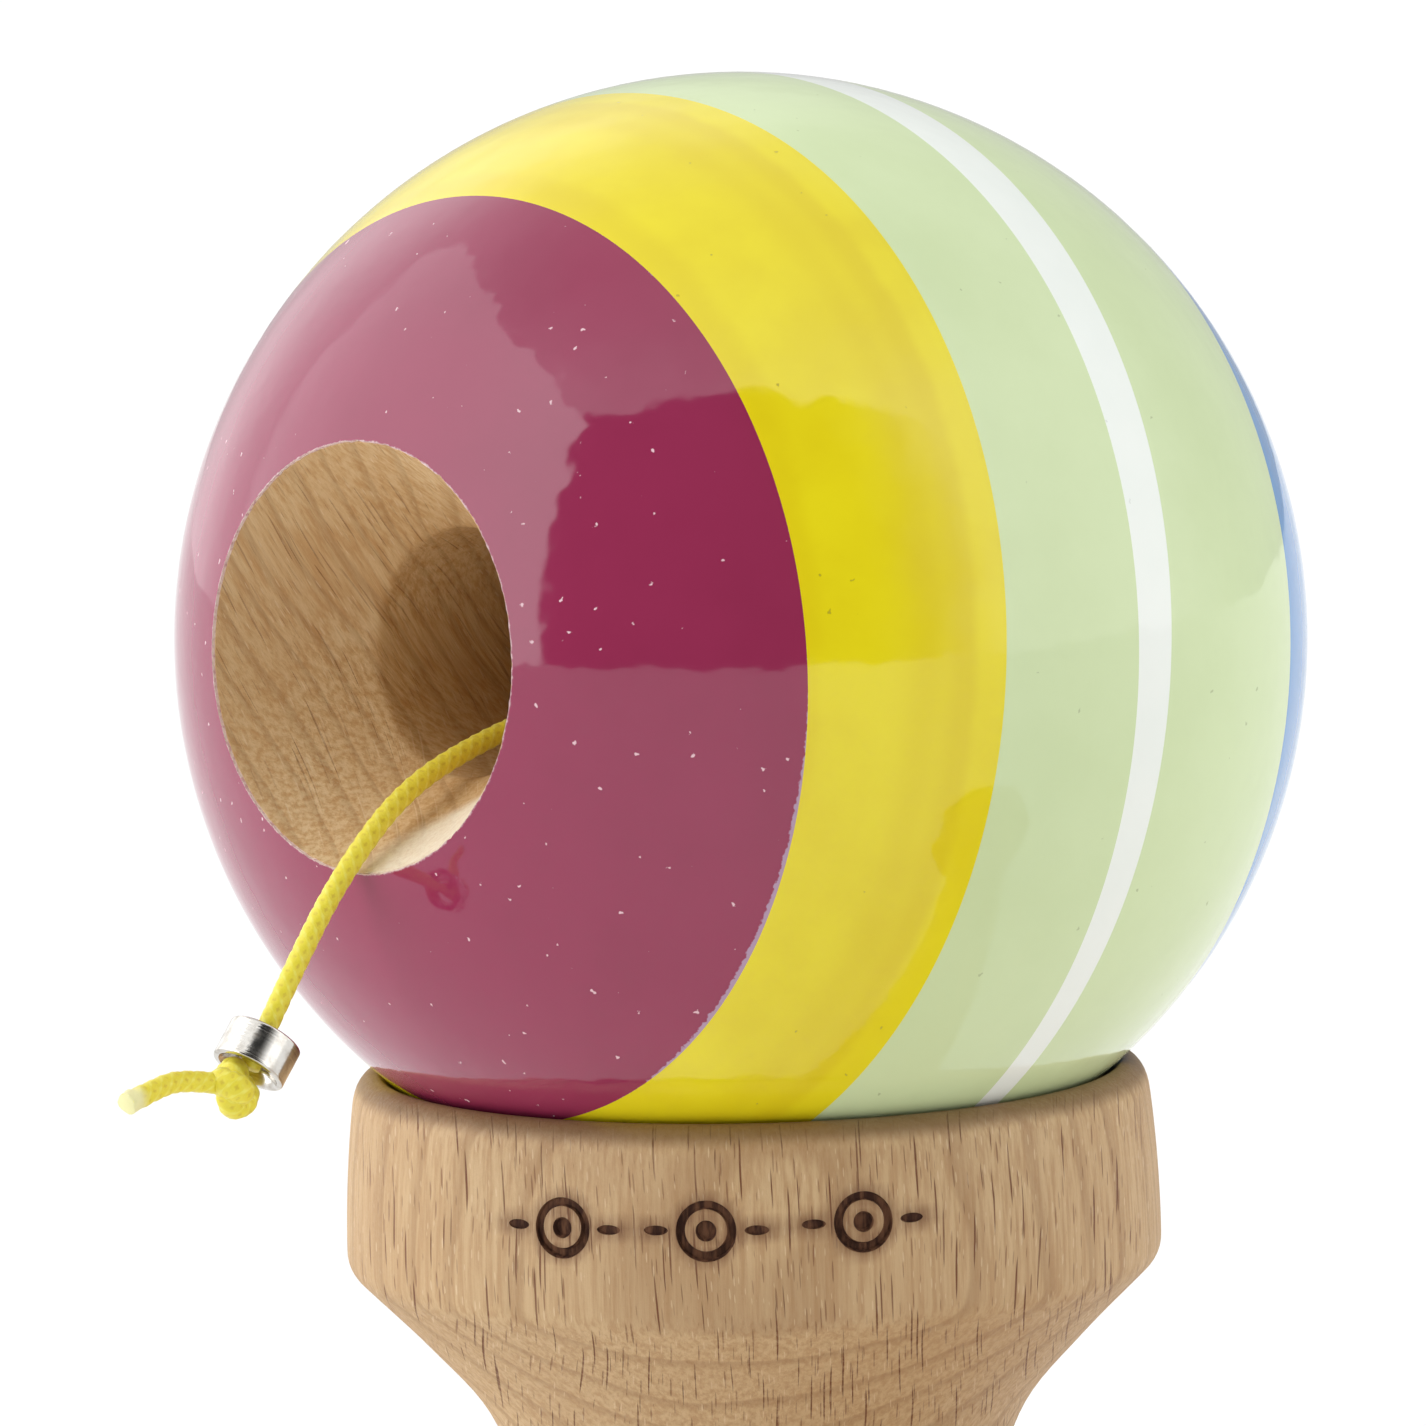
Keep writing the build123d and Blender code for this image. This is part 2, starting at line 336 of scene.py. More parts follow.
@dataclass(frozen=True)
class Beech:
    """Sanded, unvarnished beech: pale tan with short brown flecks where its rays end."""

    name: str
    grain: Axis
    pale: str = "#ceb086"
    tan: str = "#b8946a"
    ring: str = "#9c7750"
    fleck: str = "#6f3a1a"
    tick: str = "#e2cba8"
    # the colour of a painted pool of light low in the bevel
    painted_light_patch: str = "#f3e8d2"
    scorch: str = "#70492c"
    # the rim's darker colour: partly a stain, partly painted shade
    stain_and_shade: str = "#7a5c38"
    ring_spacing: float = 2.6
    ring_strength: float = 0.42
    fleck_strength: float = 1.0
    heart: tuple[float, float] = (6.0, 96.0)  # where the tree's middle lies, across the fibres
    lip_height: float | None = None  # a rim above this height is darker: partly a stain, partly painted shade
    scorched: bool = False  # browned round the burned ornament

    def turn(self) -> tuple[float, float, float]:
        """The turn that brings the fibres to Z and the rays to Y, as XYZ angles."""
        across_hole = Matrix((RINGS_FACE, FIBRES_RUN.cross(RINGS_FACE), FIBRES_RUN))
        turns = {
            Axis.UP: (0.0, 0.0, math.radians(-43.9)),
            Axis.ALONG_HANDLE: (math.radians(35.0), math.radians(-90.0), 0.0),
            Axis.ACROSS_HOLE: tuple(across_hole.to_euler()),
        }
        return turns[self.grain]

    def fibres(self, tree: bpy.types.NodeTree) -> bpy.types.Node:
        """Coordinates in millimetres with the fibres along Z and the rays along Y."""
        place = add(tree, "TexCoord").outputs["Object"]
        if self.grain is Axis.ACROSS_HOLE:
            place = add(tree, "Mapping", {"Vector": place, "Location": -BALL_CENTRE * MM})
        return add(tree, "Mapping", {"Vector": place, "Scale": (1 / MM,) * 3, "Rotation": self.turn()})

    def ray_ends(self, tree: bpy.types.NodeTree) -> bpy.types.Node:
        """How squarely the rays meet the surface: 1 on a face cut across them, 0 on one along them."""
        inputs = {"Vector": add(tree, "TexCoord").outputs["Normal"], "Rotation": self.turn()}
        facing = add(tree, "SeparateXYZ", {0: add(tree, "Mapping", inputs)}).outputs[1]
        square = add(tree, "Math", {0: facing}, operation="ABSOLUTE")
        return add(tree, "MapRange", {0: square, 1: 0.12, 2: 0.5}, **SMOOTH)

    def layer(self, tree: bpy.types.NodeTree, place: bpy.types.Node, cell: tuple[float, float],
              size: tuple[float, float]) -> bpy.types.Node:
        """One crop of small lens-shaped marks, the ends of ribbons that run in along the rays.

        Args:
            tree: The material's tree.
            place: The coordinates, in millimetres.
            cell: How far apart the marks lie, across and along the fibres.
            size: The smallest and largest mark, as a share of a cell.

        Returns:
            The node that gives the marks' strength.
        """
        parts = add(tree, "SeparateXYZ", {0: place})
        across = add(tree, "Math", {0: parts.outputs[0], 1: cell[0]}, operation="DIVIDE")
        along = add(tree, "Math", {0: parts.outputs[2], 1: cell[1]}, operation="DIVIDE")
        flat = add(tree, "CombineXYZ", {0: across, 1: along})
        cells = add(tree, "TexVoronoi", {"Vector": flat, "Scale": 1.0, "Randomness": 1.0},
                    voronoi_dimensions="2D")
        chance = add(tree, "SeparateColor", {"Color": cells.outputs["Color"]}).outputs[0]
        limit = add(tree, "MapRange", {0: chance, 3: size[0], 4: size[1]}, **SMOOTH)
        inside = add(tree, "Math", {0: limit, 1: cells.outputs["Distance"]}, operation="SUBTRACT")
        return add(tree, "MapRange", {0: inside, 2: size[1] * 0.3}, **SMOOTH)

    def late_wood(self, tree: bpy.types.NodeTree, place: bpy.types.Node,
                  wander: bpy.types.Node) -> bpy.types.Node:
        """Growth rings: each year darkens slowly to a thin line, then starts pale again.

        Args:
            tree: The material's tree.
            place: The coordinates, in millimetres.
            wander: The slow noise that bends the rings.

        Returns:
            The node that gives 1 on a line and 0 between two.
        """
        drift = add(tree, "VectorMath", {0: wander.outputs["Color"], 1: (5.0, 5.0, 0.0)},
                    operation="MULTIPLY")
        wavy = add(tree, "VectorMath", {0: place, 1: drift}, operation="ADD")
        from_heart = add(tree, "VectorMath", {0: wavy, 1: (*self.heart, 0.0)}, operation="SUBTRACT")
        flat = add(tree, "VectorMath", {0: from_heart, 1: (1.0, 1.0, 0.0)}, operation="MULTIPLY")
        radius = add(tree, "VectorMath", {0: flat}, operation="LENGTH")
        years = add(tree, "Math", {0: radius, 1: self.ring_spacing}, operation="DIVIDE")
        uneven = add(tree, "TexNoise", {"W": years, "Scale": 0.35, "Detail": 1.0}, noise_dimensions="1D")
        years = add(tree, "Math", {0: years, 1: uneven}, operation="ADD")
        year = add(tree, "Math", {0: years}, operation="FRACT")
        return overlap(tree, (year, 0.62, 0.92), (year, 1.0, 0.93))

    def flecks(self, tree: bpy.types.NodeTree, place: bpy.types.Node, wander: bpy.types.Node,
               streak: bpy.types.Node) -> list[bpy.types.Node]:
        """The rays' ends: strong flecks 1 to 3 mm long, a crowd of small ones, and pale ticks.

        Args:
            tree: The material's tree.
            place: The coordinates, in millimetres.
            wander: The slow noise that makes the flecks lean with the fibres.
            streak: The fine streaks of the fibres.

        Returns:
            The nodes that give the strength of the strong flecks, the small ones and the ticks.
        """
        sideways = add(tree, "SeparateXYZ", {0: wander.outputs["Color"]})
        lean = add(tree, "Math", {0: sideways, 1: 3.0}, operation="MULTIPLY")
        leaning = add(tree, "VectorMath", {0: place, 1: add(tree, "CombineXYZ", {0: lean})}, operation="ADD")
        strong = self.layer(tree, leaning, (0.31, 11.0), (0.05, 0.17))
        small = self.layer(tree, leaning, (0.25, 3.4), (0.03, 0.20))
        ticks = self.layer(tree, leaning, (0.29, 2.2), (0.02, 0.15))
        broken = add(tree, "MapRange", {0: streak, 1: 0.3, 2: 0.62, 3: 0.45}, **SMOOTH)
        fade = add(tree, "Math", {0: broken, 1: self.ray_ends(tree)}, operation="MULTIPLY")
        marks = []
        for layer, strength in ((strong, 0.95), (small, 0.55)):
            share = add(tree, "Math", {0: fade, 1: strength * self.fleck_strength}, operation="MULTIPLY")
            marks.append(add(tree, "Math", {0: layer, 1: share}, operation="MULTIPLY"))
        return [*marks, ticks]

    def stains_and_painted_light(self, tree: bpy.types.NodeTree, colour: bpy.types.Node, streak: bpy.types.Node,
               broad: bpy.types.Node) -> bpy.types.Node:
        """What only some pieces have: a painted pool of light low in the bevel, scorched wood, and a rim
        darkened partly by a stain, partly by painted shade.

        Args:
            tree: The material's tree.
            colour: The wood's colour so far.
            streak: The fine streaks of the fibres.
            broad: The broad change between pale and tan wood.

        Returns:
            The colour with the painted light, the scorch and the darker rim.
        """
        if self.grain is Axis.ACROSS_HOLE:
            # a painted pool of light, nearly white, low on the right of the bevel where the light from the
            # upper left falls
            patch = (BALL_CENTRE + Vector((5.4, -28.0, -8.6))) * MM
            away = add(tree, "VectorMath", {0: add(tree, "TexCoord").outputs["Object"], 1: patch},
                       operation="DISTANCE")
            near = add(tree, "MapRange", {0: away, 1: 6.5 * MM, 2: 4.5 * MM}, **SMOOTH)
            broken = add(tree, "MapRange", {0: streak, 1: 0.2, 2: 0.7, 3: 1.0, 4: 0.7}, **SMOOTH)
            share = add(tree, "Math", {0: near, 1: broken}, operation="MULTIPLY")
            colour = add(tree, "Mix", {0: share, 6: colour, 7: srgb(self.painted_light_patch)}, data_type="RGBA")
        if self.scorched:
            near = add(tree, "Attribute", attribute_name="scorch").outputs["Fac"]
            broken = add(tree, "MapRange", {0: streak, 1: 0.25, 2: 0.7, 3: 0.35, 4: 0.8}, **SMOOTH)
            share = add(tree, "Math", {0: near, 1: broken}, operation="MULTIPLY")
            colour = add(tree, "Mix", {0: share, 6: colour, 7: srgb(self.scorch)}, data_type="RGBA")
        # the rim darkens above lip_height: partly a stain, partly painted shade
        if self.lip_height is not None:
            height = add(tree, "SeparateXYZ", {0: add(tree, "TexCoord").outputs["Object"]}).outputs[2]
            smudge = add(tree, "Math", {0: broad, 1: 0.6 * MM, 2: height}, operation="MULTIPLY_ADD")
            low, high = (self.lip_height + 0.1) * MM, (self.lip_height + 0.95) * MM
            stained_and_shaded = add(tree, "MapRange", {0: smudge, 1: low, 2: high, 4: 0.8}, **SMOOTH)
            colour = add(tree, "Mix", {0: stained_and_shaded, 6: colour, 7: srgb(self.stain_and_shade)}, data_type="RGBA")
        return colour

    def material(self) -> bpy.types.Material:
        """Builds the material."""
        made, tree = new_material(self.name)
        place = self.fibres(tree)
        wander = add(tree, "TexNoise", {"Vector": place, "Scale": 0.045, "Detail": 2.0})
        late = self.late_wood(tree, place, wander)

        # fibres: long fine streaks
        stretched = add(tree, "VectorMath", {0: place, 1: (3.2, 3.2, 0.16)}, operation="MULTIPLY")
        streak = add(tree, "TexNoise", {"Vector": stretched, "Scale": 1.0, "Detail": 4.0, "Roughness": 0.65})
        broad = add(tree, "TexNoise", {"Vector": place, "Scale": 0.09, "Detail": 2.0})
        strong, small, ticks = self.flecks(tree, place, wander, streak)

        fine = add(tree, "MapRange", {0: streak, 1: 0.35, 2: 0.68}, **SMOOTH)
        wide = add(tree, "MapRange", {0: broad, 1: 0.3, 2: 0.75, 4: 0.45}, **SMOOTH)
        ring_share = add(tree, "Math", {0: late, 1: self.ring_strength}, operation="MULTIPLY")
        tick_share = add(tree, "Math", {0: ticks, 1: 0.4}, operation="MULTIPLY")
        colour = srgb(self.pale)
        for share, other in ((fine, self.tan), (wide, self.tan), (ring_share, self.ring),
                             (tick_share, self.tick), (small, self.fleck), (strong, self.fleck)):
            colour = add(tree, "Mix", {0: share, 6: colour, 7: srgb(other)}, data_type="RGBA")
        colour = self.stains_and_painted_light(tree, colour, streak, broad)

        grit = add(tree, "TexNoise", {"Vector": place, "Scale": 5.0, "Detail": 3.0})
        roughness = add(tree, "MapRange", {0: grit, 1: 0.3, 2: 0.7, 3: 0.52, 4: 0.68}, **SMOOTH)
        dents = streak
        for height, depth in ((strong, -1.2), (small, -0.7), (grit, 0.35)):
            dent = add(tree, "Math", {0: height, 1: depth}, operation="MULTIPLY")
            dents = add(tree, "Math", {0: dents, 1: dent}, operation="ADD")
        bump = add(tree, "Bump", {"Height": dents, "Distance": 0.05 * MM, "Strength": 1.0})
        shader = add(tree, "BsdfPrincipled", {"Base Color": colour, "Roughness": roughness, "IOR": 1.45,
                                              "Normal": bump})
        add(tree, "OutputMaterial", {"Surface": shader})
        return made


@dataclass(frozen=True)
class BurnedBeech:
    """Beech charred by a hot iron: dark brown, darker at the edge, without shine."""

    name: str = "burned_beech"
    char: str = "#3b2116"
    scorch: str = "#6e4a34"

    def material(self) -> bpy.types.Material:
        """Builds the material."""
        made, tree = new_material(self.name)
        stretched = add(tree, "VectorMath", {0: in_millimetres(tree), 1: (3.0, 3.0, 0.7)},
                        operation="MULTIPLY")
        patches = add(tree, "TexNoise", {"Vector": stretched, "Scale": 1.0, "Detail": 5.0})
        share = add(tree, "MapRange", {0: patches, 1: 0.38, 2: 0.66}, **SMOOTH)
        colour = add(tree, "Mix", {0: share, 6: srgb(self.char), 7: srgb(self.scorch)}, data_type="RGBA")
        bump = add(tree, "Bump", {"Height": patches, "Distance": 0.1 * MM, "Strength": 1.0})
        shader = add(tree, "BsdfPrincipled", {"Base Color": colour, "Roughness": 0.8,
                                              "Specular IOR Level": 0.25, "Normal": bump})
        add(tree, "OutputMaterial", {"Surface": shader})
        return made


@dataclass(frozen=True)
class Lacquer:
    """Sprayed colour under clear gloss lacquer: even, with a faint orange peel and stray dust."""

    name: str
    colour: str
    deep: str
    dust: str
    lilac: str = "#b9a3bd"
    chalk: str = "#e9d3d2"
    dust_share: float = 1.0
    dust_gap: float = 1.2  # how far apart the specks would lie in space
    dust_size: float = 0.13  # the largest speck's radius
    banding: float = 0.0  # soft bands along the edge where passes of the spray overlap
    cut_line: bool = False  # the pale ragged line that the drill left round the mouth
    overspray: bool = False  # the thin lilac line along the lower right edge

    def peel(self, tree: bpy.types.NodeTree, place: bpy.types.Node) -> bpy.types.Node:
        """The lacquer's unevenness: orange peel about 3 mm wide on slow waves of about 9 mm.

        Args:
            tree: The material's tree.
            place: Coordinates from the ball's centre, in millimetres.

        Returns:
            The node that gives the bent normal.
        """
        waves = add(tree, "TexNoise", {"Vector": place, "Scale": 0.11, "Detail": 1.0})
        slow = add(tree, "Bump", {"Height": waves, "Distance": 0.055 * MM, "Strength": 1.0})
        fine = add(tree, "TexNoise", {"Vector": place, "Scale": 0.33, "Detail": 2.0})
        return add(tree, "Bump", {"Height": fine, "Distance": 0.036 * MM, "Strength": 1.0, "Normal": slow})

    def specks(self, tree: bpy.types.NodeTree, place: bpy.types.Node) -> bpy.types.Node:
        """Dust and tiny scratches caught in the lacquer.

        Args:
            tree: The material's tree.
            place: Coordinates from the ball's centre, in millimetres.

        Returns:
            The node that gives their strength.
        """
        bent = add(tree, "TexNoise", {"Vector": place, "Scale": 2.6, "Detail": 2.0}).outputs["Color"]
        spread = add(tree, "VectorMath", {0: bent, 1: (0.55, 0.55, 0.55)}, operation="MULTIPLY")
        moved = add(tree, "VectorMath", {0: place, 1: spread}, operation="ADD")
        cells = add(tree, "TexVoronoi", {"Vector": moved, "Scale": 1 / self.dust_gap, "Randomness": 1.0})
        chance = add(tree, "SeparateColor", {"Color": cells.outputs["Color"]}).outputs[1]
        largest = self.dust_size / self.dust_gap
        limit = add(tree, "MapRange", {0: chance, 1: 0.55, 4: largest}, **SMOOTH)
        inside = add(tree, "Math", {0: limit, 1: cells.outputs["Distance"]}, operation="SUBTRACT")
        speck = add(tree, "MapRange", {0: inside, 2: largest * 0.35}, **SMOOTH)
        return add(tree, "Math", {0: speck, 1: self.dust_share}, operation="MULTIPLY")

    def bands(self, tree: bpy.types.NodeTree, place: bpy.types.Node, cloud: bpy.types.Node,
              colour: bpy.types.Node) -> bpy.types.Node:
        """Soft deeper bands along the far edge, and one clear band just inside it.

        Args:
            tree: The material's tree.
            place: Coordinates from the ball's centre, in millimetres.
            cloud: The noise that keeps the bands from being straight.
            colour: The coat's colour so far.

        Returns:
            The colour with its bands.
        """
        along = add(tree, "VectorMath", {0: place, 1: colour_axis("yellow_green")}, operation="DOT_PRODUCT")
        wobble = add(tree, "Math", {0: cloud, 1: 0.7, 2: along}, operation="MULTIPLY_ADD")
        band = add(tree, "TexNoise", {"W": wobble, "Scale": 0.33, "Detail": 0.0}, noise_dimensions="1D")
        share = add(tree, "MapRange", {0: band, 1: 0.45, 2: 0.75, 4: self.banding}, **SMOOTH)
        colour = add(tree, "Mix", {0: share, 6: colour, 7: srgb(self.deep)}, data_type="RGBA")
        start = COLOUR_EDGES["yellow_green"][0] + 0.35
        shade = overlap(tree, (wobble, start + 1.2, start + 1.9), (wobble, start + 3.4, start + 2.2))
        share = add(tree, "Math", {0: shade, 1: self.banding}, operation="MULTIPLY")
        return add(tree, "Mix", {0: share, 6: colour, 7: srgb(self.deep)}, data_type="RGBA")

    def lilac_line(self, tree: bpy.types.NodeTree, place: bpy.types.Node) -> bpy.types.Node:
        """The ragged line of another spray, low on the right where two colours meet.

        Args:
            tree: The material's tree.
            place: Coordinates from the ball's centre, in millimetres.

        Returns:
            The node that gives the line's strength.
        """
        depth = add(tree, "VectorMath", {0: place, 1: colour_axis("maroon_yellow")}, operation="DOT_PRODUCT")
        ragged = add(tree, "TexNoise", {"Vector": place, "Scale": 3.5, "Detail": 3.0})
        parts = add(tree, "SeparateXYZ", {0: place})
        x, _, z = parts.outputs
        low = overlap(tree, (z, 3.0, -9.0), (z, -22.0, -17.0), (x, 4.0, 12.0))
        edge = COLOUR_EDGES["maroon_yellow"][0] - 0.2
        reach = add(tree, "Math", {0: low, 1: 0.22, 2: edge}, operation="MULTIPLY_ADD")
        reach = add(tree, "Math", {0: ragged, 1: 0.35, 2: reach}, operation="MULTIPLY_ADD")
        inside = add(tree, "Math", {0: reach, 1: depth}, operation="SUBTRACT")
        return add(tree, "MapRange", {0: inside, 2: 0.06, 4: 0.8}, **SMOOTH)

    def drill_line(self, tree: bpy.types.NodeTree, place: bpy.types.Node) -> bpy.types.Node:
        """The pale ragged line round the mouth, where the drill cut the paint.

        Args:
            tree: The material's tree.
            place: Coordinates from the ball's centre, in millimetres.

        Returns:
            The node that gives the line's strength.
        """
        out = add(tree, "VectorMath", {0: place, 1: MOUTH_AXIS}, operation="DOT_PRODUCT")
        ragged = add(tree, "TexNoise", {"Vector": place, "Scale": 3.2, "Detail": 4.0, "Roughness": 0.7})
        reach = add(tree, "Math", {0: ragged, 1: 0.11, 2: out}, operation="MULTIPLY_ADD")
        low, high = MOUTH_OUT + 0.01, MOUTH_OUT + 0.06
        return add(tree, "MapRange", {0: reach, 1: low, 2: high, 4: 0.8}, **SMOOTH)

    def material(self) -> bpy.types.Material:
        """Builds the material."""
        made, tree = new_material(self.name)
        place = in_millimetres(tree, BALL_CENTRE)
        cloud = add(tree, "TexNoise", {"Vector": place, "Scale": 0.16, "Detail": 4.0})
        share = add(tree, "MapRange", {0: cloud, 1: 0.35, 2: 0.75, 4: 0.35}, **SMOOTH)
        colour = add(tree, "Mix", {0: share, 6: srgb(self.colour), 7: srgb(self.deep)}, data_type="RGBA")
        if self.banding:
            colour = self.bands(tree, place, cloud, colour)
        specks = self.specks(tree, place)
        colour = add(tree, "Mix", {0: specks, 6: colour, 7: srgb(self.dust)}, data_type="RGBA")
        if self.overspray:
            line = self.lilac_line(tree, place)
            colour = add(tree, "Mix", {0: line, 6: colour, 7: srgb(self.lilac)}, data_type="RGBA")
        roughness = add(tree, "Math", {0: specks, 1: 0.4, 2: 0.055}, operation="MULTIPLY_ADD")
        if self.cut_line:
            line = self.drill_line(tree, place)
            colour = add(tree, "Mix", {0: line, 6: colour, 7: srgb(self.chalk)}, data_type="RGBA")
            roughness = add(tree, "Math", {0: line, 1: 0.5, 2: roughness}, operation="MULTIPLY_ADD")
        shader = add(tree, "BsdfPrincipled", {"Base Color": colour, "Roughness": roughness, "IOR": 1.56,
                                              "Normal": self.peel(tree, place)})
        add(tree, "OutputMaterial", {"Surface": shader})
        return made


@dataclass(frozen=True)
class PaintEdge:
    """The cut edge of the paint at the mouth: chalky primer, pale and rough."""

    name: str = "cut_paint_edge"
    chalk: str = "#e4cfc8"
    stain: str = "#c79a9c"

    def material(self) -> bpy.types.Material:
        """Builds the material."""
        made, tree = new_material(self.name)
        crumbs = add(tree, "TexNoise", {"Vector": in_millimetres(tree), "Scale": 4.0, "Detail": 4.0})
        share = add(tree, "MapRange", {0: crumbs, 1: 0.4, 2: 0.7}, **SMOOTH)
        colour = add(tree, "Mix", {0: share, 6: srgb(self.chalk), 7: srgb(self.stain)}, data_type="RGBA")
        bump = add(tree, "Bump", {"Height": crumbs, "Distance": 0.06 * MM, "Strength": 1.0})
        shader = add(tree, "BsdfPrincipled", {"Base Color": colour, "Roughness": 0.8, "Normal": bump})
        add(tree, "OutputMaterial", {"Surface": shader})
        return made


@dataclass(frozen=True)
class WaxedBraid:
    """Braided polyester string: bright yellow satin strands, with a painted highlight on their crowns and
    painted shade in the gaps between them.
    """

    name: str = "waxed_yellow_braid"
    # crown: a painted highlight on the strands' tops; gap: painted shade between the strands
    crown: str = "#f7f06c"
    body: str = "#efe13a"
    gap: str = "#dcc62c"
    melted: str = "#f2eeb0"

    def material(self) -> bpy.types.Material:
        """Builds the material."""
        made, tree = new_material(self.name)
        height = add(tree, "Attribute", attribute_name="strand_height").outputs["Fac"]
        ends = add(tree, "Attribute", attribute_name="melted").outputs["Fac"]
        fuzz = add(tree, "TexNoise", {"Vector": in_millimetres(tree), "Scale": 6.0, "Detail": 4.0})
        # painted shade in the gaps and a painted highlight on the crowns, by the strands' height
        colour = srgb(self.gap)
        for source, low, high, most, other in (
            (height, 0.05, 0.42, 1.0, self.body), (height, 0.66, 0.98, 1.0, self.crown),
            (fuzz, 0.5, 0.8, 0.5, self.body), (ends, 0.25, 0.85, 1.0, self.melted),
        ):
            share = add(tree, "MapRange", {0: source, 1: low, 2: high, 4: most}, **SMOOTH)
            colour = add(tree, "Mix", {0: share, 6: colour, 7: srgb(other)}, data_type="RGBA")
        roughness = add(tree, "MapRange", {0: fuzz, 1: 0.3, 2: 0.7, 3: 0.34, 4: 0.52}, **SMOOTH)
        bump = add(tree, "Bump", {"Height": fuzz, "Distance": 0.03 * MM, "Strength": 1.0})
        shader = add(tree, "BsdfPrincipled", {"Base Color": colour, "Roughness": roughness, "IOR": 1.5,
                                              "Sheen Weight": 0.15, "Normal": bump})
        add(tree, "OutputMaterial", {"Surface": shader})
        return made


@dataclass(frozen=True)
class BrightNickel:
    """Nickel-plated brass turned on a lathe: a mirror with fine rings and rubbed patches."""

    name: str = "bright_nickel"
    metal: str = "#d9d6d0"
    rubbed: str = "#b9b2a8"

    def material(self) -> bpy.types.Material:
        """Builds the material."""
        made, tree = new_material(self.name)
        place = in_millimetres(tree)
        patches = add(tree, "TexNoise", {"Vector": place, "Scale": 1.4, "Detail": 4.0})
        share = add(tree, "MapRange", {0: patches, 1: 0.4, 2: 0.75}, **SMOOTH)
        colour = add(tree, "Mix", {0: share, 6: srgb(self.metal), 7: srgb(self.rubbed)}, data_type="RGBA")
        roughness = add(tree, "MapRange", {0: patches, 1: 0.3, 2: 0.8, 3: 0.10, 4: 0.24}, **SMOOTH)
        along = add(tree, "VectorMath", {0: place, 1: BEAD_AXIS}, operation="DOT_PRODUCT")
        rings = add(tree, "TexNoise", {"W": along, "Scale": 9.0, "Detail": 2.0}, noise_dimensions="1D")
        bump = add(tree, "Bump", {"Height": rings, "Distance": 0.004 * MM, "Strength": 1.0})
        shader = add(tree, "BsdfPrincipled", {"Base Color": colour, "Metallic": 1.0, "Roughness": roughness,
                                              "Normal": bump})
        add(tree, "OutputMaterial", {"Surface": shader})
        return made


# ------------------------------------------------------------------ painted ball

# The colours meet on planes: offset from the ball's centre (mm), then how far the plane's axis
# turns and lifts from straight out of the front (degrees).
COLOUR_EDGES = {
    "maroon_yellow": (18.15, -2.9, 1.2),
    "yellow_green": (9.41, -2.2, 4.5),
    "green_white": (1.35, -2.2, 3.5),
    "white_green": (-1.00, -2.2, 5.4),
    "green_blue": (-13.82, -2.2, 3.5),
}
MOUTH_RADIUS = 10.9
MOUTH_OUT = math.sqrt(BALL_RADIUS**2 - MOUTH_RADIUS**2)


def colour_axis(edge: str) -> Vector:
    """The axis of the plane where two colours meet."""
    _, turn, lift = COLOUR_EDGES[edge]
    turn, lift = math.radians(turn), math.radians(lift)
    return Vector((math.sin(turn) * math.cos(lift), -math.cos(turn) * math.cos(lift), math.sin(lift)))


@dataclass(frozen=True)
class Coat:
    """One colour on the ball, between two edges."""

    node: str
    finish: Lacquer
    front: str | None
    back: str | None
    slot: str


